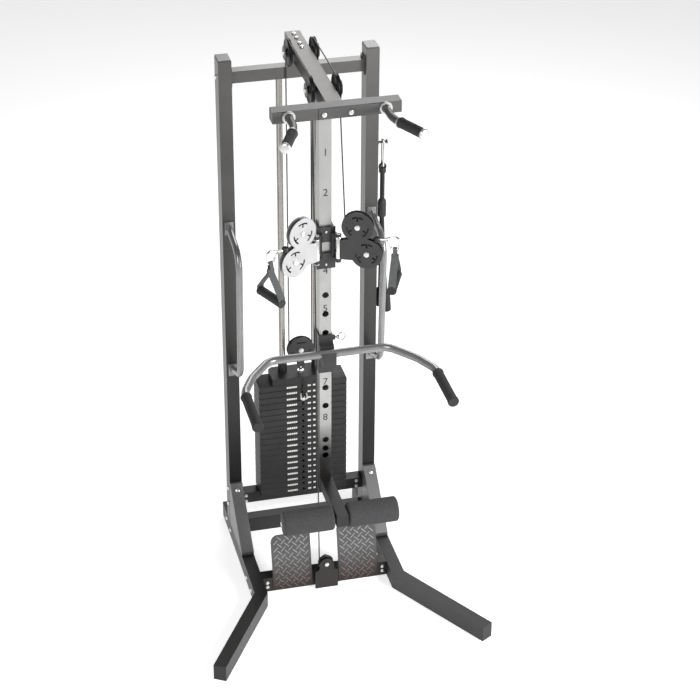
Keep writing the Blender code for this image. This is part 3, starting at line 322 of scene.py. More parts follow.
def arc_path(points, radius, steps=8):
    pts = [Vector(p) for p in points]
    out = [pts[0]]
    for i in range(1, len(pts) - 1):
        a, b, c = pts[i - 1], pts[i], pts[i + 1]
        d0, d1 = (a - b).normalized(), (c - b).normalized()
        ang = d0.angle(d1)
        rr = radius[i - 1] if isinstance(radius, (list, tuple)) else radius
        cut_ = min(rr / math.tan(ang / 2), (a - b).length * 0.49, (c - b).length * 0.49)
        rr = cut_ * math.tan(ang / 2)
        centre = b + (d0 + d1).normalized() * (rr / math.sin(ang / 2))
        p0, p1 = b + d0 * cut_ - centre, b + d1 * cut_ - centre
        whole = p0.angle(p1)
        for k in range(steps + 1):
            t = k / steps
            out.append(centre + (p0 * math.sin((1 - t) * whole) + p1 * math.sin(t * whole)) / math.sin(whole))
    out.append(pts[-1])
    return out


def prism(poly, plane, h0, h1):
    def at(p, h):
        return {"xy": (p[0], p[1], h), "xz": (p[0], h, p[1]), "yz": (h, p[0], p[1])}[plane]
    n = len(poly)
    v = [at(p, h0) for p in poly] + [at(p, h1) for p in poly]
    f = [tuple(range(n)), tuple(range(n, 2 * n))]
    f += [(i, (i + 1) % n, n + (i + 1) % n, n + i) for i in range(n)]
    return raw(v, f)


def group(objs):
    """Several scratch meshes as one, with no Boolean."""
    v, f = [], []
    for o in objs:
        n = len(v)
        v += [tuple(p.co) for p in o.data.vertices]
        f += [tuple(n + i for i in p.vertices) for p in o.data.polygons]
        bpy.data.objects.remove(o, do_unlink=True)
    me = bpy.data.meshes.new("scratch")
    me.from_pydata(v, [], f)
    obj = bpy.data.objects.new("scratch", me)
    bpy.context.scene.collection.objects.link(obj)
    return obj


def boolean(a, b, operation="DIFFERENCE"):
    mod = a.modifiers.new("cut", "BOOLEAN")
    mod.solver = "EXACT"
    mod.operation = operation
    mod.object = b
    graph = bpy.context.evaluated_depsgraph_get()
    graph.update()
    me = bpy.data.meshes.new_from_object(a.evaluated_get(graph))
    a.modifiers.clear()
    a.data = me
    bpy.data.objects.remove(b, do_unlink=True)
    return a


def dress(obj, name, mat, angle=38.0, bevel=0.0, seg=2):
    obj.name = name
    obj.data.name = name
    obj.data.materials.clear()
    obj.data.materials.append(mat)
    for p in obj.data.polygons:
        p.material_index = 0
    obj.data.shade_smooth()
    obj.data.set_sharp_from_angle(angle=math.radians(angle))
    if bevel:
        b = obj.modifiers.new("edge", "BEVEL")
        b.width = bevel * MM
        b.segments = seg
        b.limit_method = "ANGLE"
        b.angle_limit = math.radians(40)
        b.harden_normals = True
    return obj


def place(obj, name, mat, body, replaces=(), angle=38.0, bevel=0.0):
    """Scratch millimetres to a named piece in the row frame, riding on a body."""
    obj.data.transform(Matrix.Translation((0, SHIFT, 0)))
    obj.data.transform(Matrix.Scale(MM, 4))
    dress(obj, name, mat, angle, bevel)
    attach(obj, body)
    for r in replaces:
        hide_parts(r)
    return obj


def stretch(obj, name, mat, a, b, start, end, replaces=()):
    """The same scaling and finish, for a piece that runs from one body to another; it is baked in place and rides on no
    body.
    """
    obj.data.transform(Matrix.Translation((0, SHIFT, 0)))
    obj.data.transform(Matrix.Scale(MM, 4))
    dress(obj, name, mat, 60)
    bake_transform(obj)
    for r in replaces:
        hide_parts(r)
    return obj


def body_of(node):
    return NODES[node]["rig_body"]


def fine(node, mat, bevel=1.8):
    """The CAD piece again, with its triangles joined to flat faces and its edges rounded."""
    src = NODES[node]
    me = src.data.copy()
    bm = bmesh.new()
    bm.from_mesh(me)
    bmesh.ops.remove_doubles(bm, verts=bm.verts, dist=2e-6)
    bmesh.ops.dissolve_limit(bm, angle_limit=math.radians(1.0), verts=bm.verts, edges=bm.edges)
    bm.to_mesh(me)
    bm.free()
    if me.attributes.get("custom_normal"):
        me.attributes.remove(me.attributes["custom_normal"])
    obj = bpy.data.objects.new(node + "_fine", me)
    bpy.context.scene.collection.objects.link(obj)
    dress(obj, node + "_fine", mat, 38.0, bevel)
    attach(obj, body_of(node))
    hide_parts(node)
    return obj


# ---------------------------------------------------------------- dimensions shared with the CAD (mm)
CABLE_RC, CABLE_R = 46.0, 2.5
BOOM_X, BOOM_Z, BOOM_FY, BOOM_BY = 47.0, 2121.0, -370.0, -25.0
STEM_Y, FLOAT_Z = 21.0, 846.0
HX, HY, YAW = 40.0, -435.0, 24.0
UP, LOW, CAGE_RAD = (70.0, 1618.0), (104.0, 1513.0), 58.0
LINK_RHO, LINK_Z, GRIP_Z = 206.0, 1538.0, 1403.0
BALL = (141.0, 1572.0)
RX, RY = 320.5, 8.0
PIN_H, STACK_Y0, HEAD_Z1 = 644.8, -20.0, 741.1


def cage_matrix(s):
    m = Matrix.Translation((HX, HY, 0)) @ Matrix.Rotation(math.radians(-YAW), 4, "Z")
    return m if s > 0 else Matrix.Diagonal((-1, 1, 1, 1)) @ m


def cp(s, rho, z, across=0.0):
    return cage_matrix(s) @ Vector((rho, across, z))


SIDES = (("left", -1), ("right", 1))

# ---------------------------------------------------------------- cords: the rope's two legs and the pin's lanyard
def leg_path(q):
    x1, y1 = (RX + 14, RY - 26) if q < 0 else (RX, RY + 17)
    key = [(RX, RY + q * 7.5, 1597), (RX, RY + q * 7.5, 1400), (RX + (5 if q < 0 else 0), RY + (-14 if q < 0 else 11), 1240), (x1, y1, 1066)]
    pts = []
    for i in range(len(key) - 1):
        a, b = Vector(key[i]), Vector(key[i + 1])
        for k in range(9):
            pts.append(a.lerp(b, k / 9))
    pts.append(Vector(key[-1]))
    return pts


for tag, q in (("front", -1), ("rear", 1)):
    pts = leg_path(q)
    cu = bpy.data.curves.new("rope_leg_" + tag, "CURVE")
    cu.dimensions = "3D"
    sp = cu.splines.new("POLY")
    sp.points.add(len(pts) - 1)
    for i, p in enumerate(pts):
        sp.points[i].co = (*P(p), 1.0)
    cu.bevel_depth = 7.0 * MM
    cu.bevel_resolution = 5
    cu.use_fill_caps = True
    cu.twist_mode = "MINIMUM"
    cu.materials.append(ROPE)
    leg = bpy.data.objects.new("rope_leg_" + tag, cu)
    bpy.context.scene.collection.objects.link(leg)
    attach(leg, "rope")
    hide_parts("triceps_rope")
    e, b = pts[-1], pts[-2]
    dd = (e - b).normalized()
    prof = [(8, 2), (13, 5), (16.5, 14), (16.8, 30), (16.8, 74), (16, 79), (13, 81.5)]
    end = place(turned(e - dd * 14, dd, prof, 36), "rope_end_" + tag, RUBBER, "rope", ["triceps_rope"], 50)

lan = arc_path([(0, STACK_Y0 - 2.4, HEAD_Z1 - 6), (0, STACK_Y0 - 4.5, HEAD_Z1 - 16), (1, STACK_Y0 - 6, HEAD_Z1 - 40), (0, STACK_Y0 - 10, PIN_H + 30), (0, STACK_Y0 - 15, PIN_H + 9.2)], 14, 5)
lanyard = sweep(lan, circle(1.7, 10), up=(1, 0, 0))
lanyard.data.transform(Matrix.Translation((0, SHIFT, 0)))
lanyard.data.transform(Matrix.Scale(MM, 4))
dress(lanyard, "lanyard", CABLE, 70)
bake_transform(lanyard)
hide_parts("pin_lanyard")

# the rope's eye over the link, and the sleeve
eye = [Vector((RX + 10.5 * math.cos(2 * math.pi * k / 32), RY, 1609 + 13 * math.sin(2 * math.pi * k / 32))) for k in range(32)]
place(sweep(eye, circle(5.0, 14), up=(0, 1, 0), closed=True), "rope_eye", ROPE, "rope", ["triceps_rope"], 60)
place(turned((RX, RY, 1584), (0, 0, 1), [(11, 0), (13.5, 3), (13.5, 13), (11, 20), (7, 24)], 32), "rope_whipping", RUBBER, "rope", ["triceps_rope"], 50)
place(turned((RX, RY, 1400), (0, 0, 1), [(14, 0), (16, 3), (16, 60), (14.5, 68), (11, 73)], 32), "rope_sleeve", RUBBER, "rope", ["triceps_rope"], 50)
loop = []
for k in range(48):
    t = 2 * math.pi * (k + 0.5) / 48
    y, z = math.cos(t), math.sin(t)
    loop.append(Vector((RX, RY + 13.0 * math.copysign(abs(y) ** 0.5, y), 1667 + 55.5 * math.copysign(abs(z) ** 0.5, z))))
place(sweep(loop, circle(3.5, 12), up=(1, 0, 0), closed=True), "rope_snap_link", CHROME, "rope", ["rope_carabiner"], 60)

# ---------------------------------------------------------------- frame, with rounded edges
for n, m, s in (("upright_left", PAINT, "frame_paint"), ("upright_right", PAINT, "frame_paint"), ("top_crossbar", PAINT, "frame_paint"),
                ("boom", BOOM_PAINT, "frame_paint"), ("column", SILVER, "column_paint"), ("roller_arm", BASE_PAINT, "frame_paint"),
                ("pullup_bar", BAR_PAINT, "frame_paint"), ("base_leg_left", BASE_PAINT, "frame_paint"), ("base_leg_right", BASE_PAINT, "frame_paint"),
                ("brace_left", PANEL, "panel_paint"), ("brace_right", PANEL, "panel_paint"), ("rear_cross", BASE_PAINT, "frame_paint"),
                ("stack_base", BASE_PAINT, "frame_paint"), ("front_cross", LOW_PANEL, "frame_paint"), ("carriage", CAR, "frame_paint"),
                # The float block takes the painted-shade copy of the cage steel.
                ("hanger", CAR, "frame_paint"), ("stack_head", CAST, "casting"), ("float_block", CAGE_STEEL_PAINTED_SHADE, "cage_steel")):
    fine(n, m, 1.0 if n in ("carriage", "hanger", "float_block", "stack_head") else 2.0)
fine("hanger_pin", CHROME, 0.0)
fine("carriage_pin", CHROME, 0.6)
fine("selector_pin", CHROME, 0.0)

# ---------------------------------------------------------------- bolt heads
def head(p, axis, r, h):
    p, a = Vector(p), Vector(axis).normalized()
    return turned(p - a * 1.0, a, [(r, 0), (r, h * 0.6), (r * 0.9, h * 0.85 + 1), (r * 0.55, h + 1.2)], 24)


heads = []
for s in (-1, 1):
    rail = s * 302.0
    heads += [head((rail, y, z), (s, 0, 0), 9.0, 6.0) for y, z in ((77, 46), (0, 40), (-323, 32), (-410, 32))]
    heads += [head((s * 301.5, y, z), (s, 0, 0), 9.0, 5.6) for y, z in ((28, 227), (37, 148), (48, 2020))]
    heads += [head((s * 47, -580, 2119), (0, -1, 0), 9.5, 5.8)]
    heads += [head((s * 232, 22, z), (0, -1, 0), 7.5, 5.2) for z in (158, 184)]
    heads += [head((s * 234, -392, z), (0, -1, 0), 7.5, 5.2) for z in (24, 44)]
    sl = Vector((0, -192, 210)).normalized()
    heads += [head((s * 277, -34, 252.5), sl, 9.0, 5.6)]
    heads += [head((s * 251.8, y, z), (-s, 0, 0), 7.5, 5.2) for y, z in ((-60, 120), (-140, 95))]
    heads += [head((s * 64, y, BOOM_Z), (s, 0, 0), 9.5, 6.0) for y in (BOOM_FY, BOOM_BY)]
heads += [head((0, y, 2142), (0, 0, 1), 8.0, 5.2) for y in (92, 50, -1, -35)]
heads += [head((0, -420, 114), (0, -1, 0), 9.0, 6.0)]
place(group(heads), "bolt_heads", ZINC, "frame", angle=45)
place(group([head((0, -411, z), (0, -1, 0), 4.2, 3.6) for z in (1581, 1449)]), "carriage_rivets", ZINC, "carriage", angle=45)
rings = []
for s in (-1, 1):
    rings.append(lathe((s * 170, -581, 2121), (0, 1, 0), [(15.5, -2), (22.5, -2), (23.5, 0), (22.5, 4), (15.5, 4)], 40))
place(group(rings), "stub_collars", ZINC, "frame", angle=45)

# ---------------------------------------------------------------- numbers on the column
for k in range(8):
    cu = bpy.data.curves.new("n", "FONT")
    cu.body = str(k + 1)
    cu.size = 0.040
    cu.extrude = 0.0002
    cu.align_x, cu.align_y = "CENTER", "CENTER"
    o = bpy.data.objects.new("n", cu)
    bpy.context.scene.collection.objects.link(o)
    bpy.context.view_layer.update()
    me = bpy.data.meshes.new_from_object(o.evaluated_get(bpy.context.evaluated_depsgraph_get()))
    bpy.data.objects.remove(o, do_unlink=True)
    me.transform(Matrix.Rotation(math.radians(90), 4, "X"))
    me.transform(Matrix.Translation(P((0 if k < 4 else -1, -401.25, 1890 - 157.5 * k))))
    num = bpy.data.objects.new(f"number_{k + 1}", me)
    bpy.context.scene.collection.objects.link(num)
    dress(num, f"number_{k + 1}", INK)
    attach(num, "frame")

# ---------------------------------------------------------------- grips, bars and handles
def ribs(n, r, depth, x0, x1):
    out = []
    for i in range(n):
        a, b = x0 + (x1 - x0) * i / n, x0 + (x1 - x0) * (i + 1) / n
        out += [(r - depth, a), (r, a + (b - a) * 0.3), (r, a + (b - a) * 0.75), (r - depth, a + (b - a) * 0.98)]
    return out


for side, s in SIDES:
    elbow, end = Vector((s * 177, -684, 2121)), Vector((s * 236, -818, 2124))
    dd = (end - elbow).normalized()
    start = end - dd * 122
    place(turned(start, dd, [(14.5, 0.2), (18.8, 0.4), (19.4, 2), (19.4, 5), (17.8, 7)] + ribs(26, 18.1, 0.8, 8, 112) + [(17.5, 114), (19.2, 117), (19.2, 121)], 36),
          "pullup_grip_fine_" + side, KNURL, "frame", ["pullup_grip_" + side], 50)
    place(turned(start, dd, [(19.3, 120.5), (19.4, 124), (17.5, 128), (10, 130)], 36), "pullup_cap_" + side, ZINC, "frame", angle=50)
    place(lathe(start, dd, [(14.0, -4), (19.8, -4), (20.2, -2), (19.8, 0.3), (14.0, 0.3)], 36), "pullup_collar_" + side, ZINC, "frame", angle=50)
    x = s * 277
    path = arc_path([(x, 4, 1424), (x, -190, 1398), (x, -163, 872), (x, 4, 803)], [80, 70], 12)
    h = sweep(path, circle(12.5, 28), up=(1, 0, 0))
    place(group([h, box(x - 17, x + 17, -4.3, -0.3, 1398, 1450), box(x - 17, x + 17, -4.3, -0.3, 777, 829)]),
          "grab_handle_fine_" + side, TUBE_PAINT, "frame", ["grab_handle_" + side], 45)

pts = [(x, y, 1092.0 - (3 if y < -800 else 0)) for x, y in ((-356, -858), (-356, -640), (-312, -552), (-226, -445))]
pts += [(-x, y, z) for x, y, z in reversed(pts)]
place(sweep(arc_path(pts, [110, 200, 70, 70, 200, 110], 10), circle(15.0, 32)), "lat_bar_fine", TUBE_PAINT, "lat_bar", ["lat_bar"], 45)
for side, s in SIDES:
    p0, p1 = Vector((s * 356, -668, 1091.6)), Vector((s * 356, -874, 1088.8))
    dd = (p1 - p0).normalized()
    prof = [(15.4, 0.2), (20.3, 0.4), (21, 2), (21, 6), (18.6, 9)] + ribs(34, 18.9, 1.3, 10, 190) + [(18.4, 192), (21, 195), (21, 202), (18.5, 206)]
    place(turned(p0, dd, prof, 40), "lat_grip_fine_" + side, RUBBER, "lat_bar", ["lat_grip_" + side], 50)

# ---------------------------------------------------------------- roller pads
place(cyl((-227, -632, 489), (227, -632, 489), 9.0, 32), "roller_axle_fine", CHROME, body_of("roller_axle"), ["roller_axle"])
for side, s in SIDES:
    prof = [(9.6, -96.0), (30, -96.4)]
    prof += [(47.8 - 9 + 9 * math.sin(math.radians(t)), -87.5 - 9 * math.cos(math.radians(t))) for t in range(0, 91, 15)]
    prof += [(47.9, -45), (47.7, 0), (47.9, 45)]
    prof += [(47.8 - 9 + 9 * math.cos(math.radians(t)), 87.5 + 9 * math.sin(math.radians(t))) for t in range(0, 91, 15)]
    prof += [(30, 96.4), (9.6, 96.0)]
    pad = place(lathe((s * 124.5, -632, 489), (1, 0, 0), prof, 64), "roller_pad_fine_" + side, FOAM, "roller_" + side, ["roller_pad_" + side], 60)
    place(turned((s * 220.5, -632, 489), (s, 0, 0), [(21, 0), (21, 1.5), (15, 3.8)], 36), "roller_cap_" + side, NYLON, "roller_" + side, angle=50)

# ---------------------------------------------------------------- pulleys
def pulley(c, axis, d=0.0):
    """d is how much smaller than 50 mm its radius is."""
    return lathe(c, axis, [(6.7, -8), (14, -8), (15.5, -7), (16, -5.2), (40 - d, -5.2), (42.5 - d, -6.9), (49.2 - d, -7.2), (50 - d, -6.4), (49.5 - d, -5.6),
                           (44.8 - d, -3.0), (42.8 - d, -1.6), (42.4 - d, 0), (42.8 - d, 1.6), (44.8 - d, 3.0),
                           (49.5 - d, 5.6), (50 - d, 6.4), (49.2 - d, 7.2), (42.5 - d, 6.9), (40 - d, 5.2), (16, 5.2), (15.5, 7), (14, 8), (6.7, 8)], 64)


wheels = {"low_pulley": ((0, -402, 112), (0, 1, 0)), "stack_pulley": ((0, STEM_Y, FLOAT_Z), (0, 1, 0))}
for side, s in SIDES:
    wheels[f"boom_pulley_{side}_front"] = ((s * BOOM_X, BOOM_FY, BOOM_Z), (1, 0, 0))
    wheels[f"boom_pulley_{side}_rear"] = ((s * BOOM_X, BOOM_BY, BOOM_Z), (1, 0, 0))
    ax = cp(s, 0, 0, 1) - cp(s, 0, 0, 0)
    wheels[f"cage_pulley_{side}_upper"] = (cp(s, *UP), ax)
    wheels[f"cage_pulley_{side}_lower"] = (cp(s, *LOW), ax)
for n, (c, ax) in wheels.items():
    place(pulley(c, ax, 20.0 if n == "low_pulley" else 0.0), n + "_fine", NYLON, body_of(n), [n], 35)

# ---------------------------------------------------------------- swivel cages
def t_slot(cx, cz, ang, y0, y1):
    def at(r, t):
        a = math.radians(ang + t)
        return (cx + r * math.cos(a), cz + r * math.sin(a))
    outer = [at(42, t) for t in range(-30, 31, 6)]
    inner = [at(36, t) for t in range(30, 7, -6)]
    inner2 = [at(36, t) for t in range(-12, -31, -6)]
    return prism(outer + inner + [at(36, 5.0), at(24, 7.5), at(24, -7.5), at(36, -5.0)] + inner2, "xz", y0, y1)


for side, s in SIDES:
    body = body_of("cage_" + side)
    # Painted light: the left cage gets the painted-lit copy of the steel, the right cage the painted-shade copy.
    face = CAGE_STEEL_PAINTED_LIT if s < 0 else CAGE_STEEL_PAINTED_SHADE
    parts, rims, bolts = [], [], []
    for y0, y1 in ((-11.4, -8.4), (8.4, 11.4)):
        a = cyl((UP[0], y0, UP[1]), (UP[0], y1, UP[1]), CAGE_RAD, 72)
        b = cyl((LOW[0], y0, LOW[1]), (LOW[0], y1, LOW[1]), CAGE_RAD, 72)
        neck = prism([(8, 1484.6), (8, 1560), (44, 1568), (112, 1572), (120, 1560), (70, 1484.6)], "xz", y0, y1)
        a = boolean(boolean(a, b, "UNION"), neck, "UNION")
        cut_ = group([t_slot(cx, cz, 90 + 120 * k, y0 - 3, y1 + 3) for cx, cz in (UP, LOW) for k in range(3)])
        parts.append(boolean(a, cut_))
        for cx, cz in (UP, LOW):
            bolts.append(head((cx, y0 if y0 < 0 else y1, cz), (0, -1 if y0 < 0 else 1, 0), 10.5, 6.2))
    rims.append(lathe((0, 0, 1527), (0, 0, 1), [(6.6, -43), (10.6, -43), (11.2, -42), (11.2, 42), (10.6, 43), (6.6, 43)], 48))
    hub = group([box(9, 40, -8.6, 8.6, 1486, 1556)]
                + [cyl((cx, -10, cz), (cx, 10, cz), 6.2, 20) for cx, cz in (UP, LOW)])
    plates = group(parts)
    for o, n, m, sl in ((plates, "cage_plates_", face, "cage_steel"), (hub, "cage_hub_", CAR, "frame_paint"),
                        (group(rims), "cage_barrel_", CHROME, "chrome"), (group(bolts), "cage_bolts_", ZINC, "chrome")):
        o.data.transform(cage_matrix(s))
        if s < 0:
            o.data.flip_normals()
        place(o, n + side, m, body, ["cage_" + side], 40, 0.5 if n == "cage_plates_" else 0.0)
    place(group([turned((s * HX, HY, 1583), (0, 0, 1), [(9.4, -0.5), (9.4, 1.5), (6.5, 3.2)], 28), turned((s * HX, HY, 1469), (0, 0, -1), [(10.8, -0.5), (10.8, 1.5), (7, 3.0)], 28),
                 turned((s * HX, HY, 1570.4), (0, 0, 1), [(9.6, 0), (9.6, 0.5)], 28)]), "hinge_caps_" + side, ZINC, "carriage", angle=50)

# ---------------------------------------------------------------- cable stops and snap links
for side, s in SIDES:
    c = cp(s, *BALL)
    dd = (cp(s, 1, 0) - cp(s, 0, 0)).normalized()
    across = cp(s, 0, 0, 1) - cp(s, 0, 0, 0)
    prof = [(4 if abs(t) > 84 else 13.6 * math.cos(math.radians(t)), 13.6 * math.sin(math.radians(t))) for t in range(-84, 85, 12)]
    place(turned(c, dd, prof, 36), "cable_ball_" + side, NYLON, body_of("link_" + side), ["link_" + side], 60)
    pts = [cp(s, r, z) for r, z in ((185, 1566), (161, 1574), (207, 1587), (221, 1579), (LINK_RHO + 15, LINK_Z), (LINK_RHO - 15, LINK_Z), (185, 1566))]
    lp = arc_path(pts, [5, 6, 6, 5, 5], 6)[1:]
    place(group([sweep(lp, circle(4.0, 14), up=across, closed=True), cyl(c + dd * 10, cp(s, 171, 1574), 5.2, 20)]),
          "snap_link_" + side, CHROME, body_of("link_" + side), ["link_" + side], 60)

# ---------------------------------------------------------------- stirrup handles
for side, s in SIDES:
    body = body_of("strap_" + side)
    dd = (cp(s, 1, 0) - cp(s, 0, 0)).normalized()
    n = cp(s, 0, 0, -1) - cp(s, 0, 0, 0)
    hang = cp(s, LINK_RHO, LINK_Z)
    centre = Vector((hang.x, hang.y, GRIP_Z))
    half, W, T = 62.0, 28.0, 3.0
    split = Vector((hang.x, hang.y, 1496))
    wrap = [Vector((hang.x, hang.y, LINK_Z - 12)) + n * (7.5 * math.sin(2 * math.pi * k / 28)) + Vector((0, 0, 20.5 * math.cos(2 * math.pi * k / 28))) for k in range(28)]
    hold = sweep(wrap, rect(2.2, W - 14), up=dd, closed=True)
    web = prism([(-5.0, 1518), (5.0, 1518), (5.6, 1512), (5.6, 1498), (5.0, 1492), (-5.0, 1492), (-5.6, 1498), (-5.6, 1512)], "xz", -W / 2 + 0.7, W / 2 - 0.7)
    web.data.transform(Matrix(((n.x, dd.x, 0, hang.x), (n.y, dd.y, 0, hang.y), (0, 0, 1, 0), (0, 0, 0, 1))))
    parts = [hold, web]
    caps = []
    for q in (-1, 1):
        a = centre + n * (q * (half + 2.5)) + Vector((0, 0, 20.5))
        b = split + n * (q * 3.2) + Vector((0, 0, 4))
        mid = (a + b) / 2 + n * (q * 1.2)
        parts.append(sweep(arc_path([b, mid, a, a - Vector((0, 0, 11))], [120, 14], 6), rect(W, T), up=(a - b).cross(dd).normalized()))
        e = centre + n * (q * half)
        caps.append(turned(e + n * (q * 0.4), n * q, [(17.4, 0), (17.6, 2), (16, 4.4)], 36))
    place(group(parts), "strap_fine_" + side, WEB, body, ["strap_" + side], 40)
    place(group(caps), "grip_caps_" + side, RUBBER, body, ["strap_" + side], 50)
    prof = [(8, -half), (16.8, -half + 0.2)] + ribs(22, 16.9, 0.9, -half + 2, half - 2) + [(16.8, half - 0.2), (8, half)]
    place(lathe(centre, n, prof, 36), "grip_fine_" + side, RUBBER, body_of("grip_" + side), ["grip_" + side], 50)

# ---------------------------------------------------------------- weight stack
PLATE, Z0 = 27.3, 195.4


def plate(k):
    z = Z0 + k * PLATE
    x, y0, y1, c = 178.0, -20.0, 82.0, 1.6
    v, f = [], []
    for zz, i in ((z + 0.15, 3.0), (z + 0.9, c), (z + 0.9 + c, 0), (z + PLATE - 0.9 - c, 0), (z + PLATE - 0.9, c), (z + PLATE - 0.15, 3.0)):
        v += [(-x + i, y0 + i, zz), (x - i, y0 + i, zz), (x - i, y1 - i, zz), (-x + i, y1 - i, zz)]
    for a in range(5):
        for b in range(4):
            f.append((a * 4 + b, a * 4 + (b + 1) % 4, a * 4 + 4 + (b + 1) % 4, a * 4 + 4 + b))
    f += [(0, 1, 2, 3), (20, 21, 22, 23)]
    made = boolean(raw(v, f), group([cyl((0, STEM_Y, z - 5), (0, STEM_Y, z + 35), 13.5, 24)] + [cyl((sx * 68, 47, z - 5), (sx * 68, 47, z + 35), 13.4, 24) for sx in (-1, 1)]))
    return boolean(made, cyl((0, -25, z + 0.46 * PLATE), (0, 10, z + 0.46 * PLATE), 5.5, 16))


def marks(ks):
    out = []
    for k in ks:
        z = Z0 + k * PLATE + 11.5
        for x0, x1 in ((-66, -58.5), (-57, -49.5), (-48, -41), (-39.5, -32), (-30.5, -25)):
            out.append(box(x0, x1, -20.45, -19.9, z - 3.6, z + 3.6))
        for x0, x1 in ((19, 24.5), (25.5, 31), (41, 50)):
            out.append(box(x0, x1, -20.45, -19.9, z - 3.6, z + 3.6))
    return group(out)


def pin_holes(ks):
    """Dark bushes set in the pin holes."""
    out = []
    for k in ks:
        z = Z0 + (k + 0.46) * PLATE
        out.append(lathe((0, -20.1, z), (0, 1, 0), [(5.5, -0.5), (7.6, -0.5), (7.6, 0.6), (5.5, 0.6)], 24))
    return group(out)


for name, ks, body in (("plates_resting", range(16), "frame"), ("plates_lifted", range(16, 19), "weight")):
    stack = group([plate(k) for k in ks])
    place(stack, name + "_fine", CAST, body, [name], 30)
    place(marks(ks), name + "_marks", LABEL, body)
    place(pin_holes(ks), name + "_bushes", NYLON, body, angle=40)
place(turned((0, STEM_Y, HEAD_Z1), (0, 0, 1), [(13.6, -0.5), (13.6, 9.4)], 6), "head_nut", ZINC, "weight", angle=30)
place(turned((0, STEM_Y, HEAD_Z1), (0, 0, 1), [(7.0, 5), (7.0, 29.8)], 24), "head_stud", CHROME, "weight", angle=30)
place(group([head((0, STEM_Y + q * 11.4, FLOAT_Z), (0, q, 0), 10.5, 6.0) for q in (-1, 1)]), "float_bolts", ZINC, "weight", angle=45)
for side, s in SIDES:
    place(cyl((s * 68, 47, 195.3), (s * 68, 47, 1996.7), 12.5, 48), "guide_rod_fine_" + side, ROD, "frame", ["guide_rod_" + side])
    place(lathe((s * 68, 47, 195), (0, 0, 1), [(12.8, 0.4), (19, 0.4), (19, 10), (17, 13), (12.8, 13)], 36), "rod_collar_" + side, NYLON, "frame", angle=45)

# ---------------------------------------------------------------- tread plates
for side, s in SIDES:
    out = []

    def surf(x, u, h):
        bend = 62.3
        ny, nz = -1.0, 0.0
        if u <= bend:
            y, z = -396.3, 5 + u
        else:
            t = Vector((41.3, 171.7)).normalized()
            y, z = -396.3 + t.x * (u - bend), 67.3 + t.y * (u - bend)
            ny, nz = -t.y, t.x
        return Vector((x, y + ny * h, z + nz * h))

    step = 15.0
    for i in range(-11, 12):
        for j in range(-11, 12):
            cx, cu = 133 + (i + j) * step, 119 + (i - j) * step
            ang = math.radians(45 if (i + j) % 2 else -45)
            ca, sa = math.cos(ang), math.sin(ang)
            shape = [(-15.5, 0), (-10, -2.3), (10, -2.3), (15.5, 0), (10, 2.3), (-10, 2.3)]
            pts2 = [(cx + a * ca - b * sa, cu + a * sa + b * ca) for a, b in shape]
            if any(x < 54.6 or x > 211.4 or u < 0.6 or u > 237 or (x > 184 and u > 209 and math.hypot(x - 184, u - 209) > 27) for x, u in pts2):
                shape = [(a * 0.55, b) for a, b in shape]
                pts2 = [(cx + a * ca - b * sa, cu + a * sa + b * ca) for a, b in shape]
            if any(x < 54.6 or x > 211.4 or u < 0.6 or u > 237 or (x > 184 and u > 209 and math.hypot(x - 184, u - 209) > 27) for x, u in pts2):
                continue
            top = [(cx + a * ca * 0.86 - b * sa * 0.5, cu + a * sa * 0.86 + b * ca * 0.5) for a, b in shape]
            v = [surf(s * x, u, 0.0) for x, u in pts2] + [surf(s * x, u, 1.5) for x, u in top]
            out.append(raw(v, [tuple(range(6)), tuple(range(6, 12))] + [(a, (a + 1) % 6, 6 + (a + 1) % 6, 6 + a) for a in range(6)]))
    place(group(out), "tread_bars_" + side, TREAD_BAR, "frame", angle=20)
    fine("tread_" + side, TREAD, 0.0)

# ---------------------------------------------------------------- cables
def tube(path, up=(1, 0, 0), r=CABLE_R):
    return sweep(path, circle(r, 14), up=up)


for side, s in SIDES:
    cage, link = body_of("cage_" + side), body_of("link_" + side)
    across = cp(s, 0, 0, 1) - cp(s, 0, 0, 0)
    tip, tang = cp(s, BALL[0] - 13.0, BALL[1]), cp(s, UP[0], BALL[1])
    stretch(tube([tang, tip], across), "cable_tail_" + side, CABLE, cage, link, tang, tip, ["cable_main"])
    arc = [cp(s, UP[0] + CABLE_RC * math.cos(math.radians(-90 - 6 * k)), UP[1] + CABLE_RC * math.sin(math.radians(-90 - 6 * k))) for k in range(16)]
    place(tube(arc, across), "cable_cage_" + side, CABLE, cage, ["cable_main"], 70)
    low = arc[-1]
    dy, dz = low.y - BOOM_FY, low.z - BOOM_Z
    t0 = (math.atan2(dz, dy) - math.acos(CABLE_RC / math.hypot(dy, dz))) % (2 * math.pi)
    up_arc = [Vector((s * BOOM_X, BOOM_FY + CABLE_RC * math.cos(t0 + (math.pi / 2 - t0) * k / 16), BOOM_Z + CABLE_RC * math.sin(t0 + (math.pi / 2 - t0) * k / 16))) for k in range(17)]
    down = [Vector((s * BOOM_X, BOOM_BY + CABLE_RC * math.cos(math.radians(90 - 6 * k)), BOOM_Z + CABLE_RC * math.sin(math.radians(90 - 6 * k)))) for k in range(16)]
    mid = low.lerp(up_arc[0], 110.0 / (up_arc[0] - low).length)
    stretch(tube([low, mid]), "cable_rise_" + side, CABLE, cage, "carriage", low, mid, ["cable_main"])
    stretch(tube([mid, up_arc[0]]), "cable_span_" + side, CABLE, "carriage", "frame", mid, up_arc[0], ["cable_main"])
    place(tube(up_arc + down), "cable_boom_" + side, CABLE, "frame", ["cable_main"], 70)
    foot = Vector((s * CABLE_RC, STEM_Y, FLOAT_Z))
    stretch(tube([foot, down[-1]]), "cable_fall_" + side, CABLE, "weight", "frame", foot, down[-1], ["cable_main"])
bottom = [Vector((CABLE_RC * math.cos(math.radians(180 + 7.5 * k)), STEM_Y, FLOAT_Z + CABLE_RC * math.sin(math.radians(180 + 7.5 * k)))) for k in range(25)]
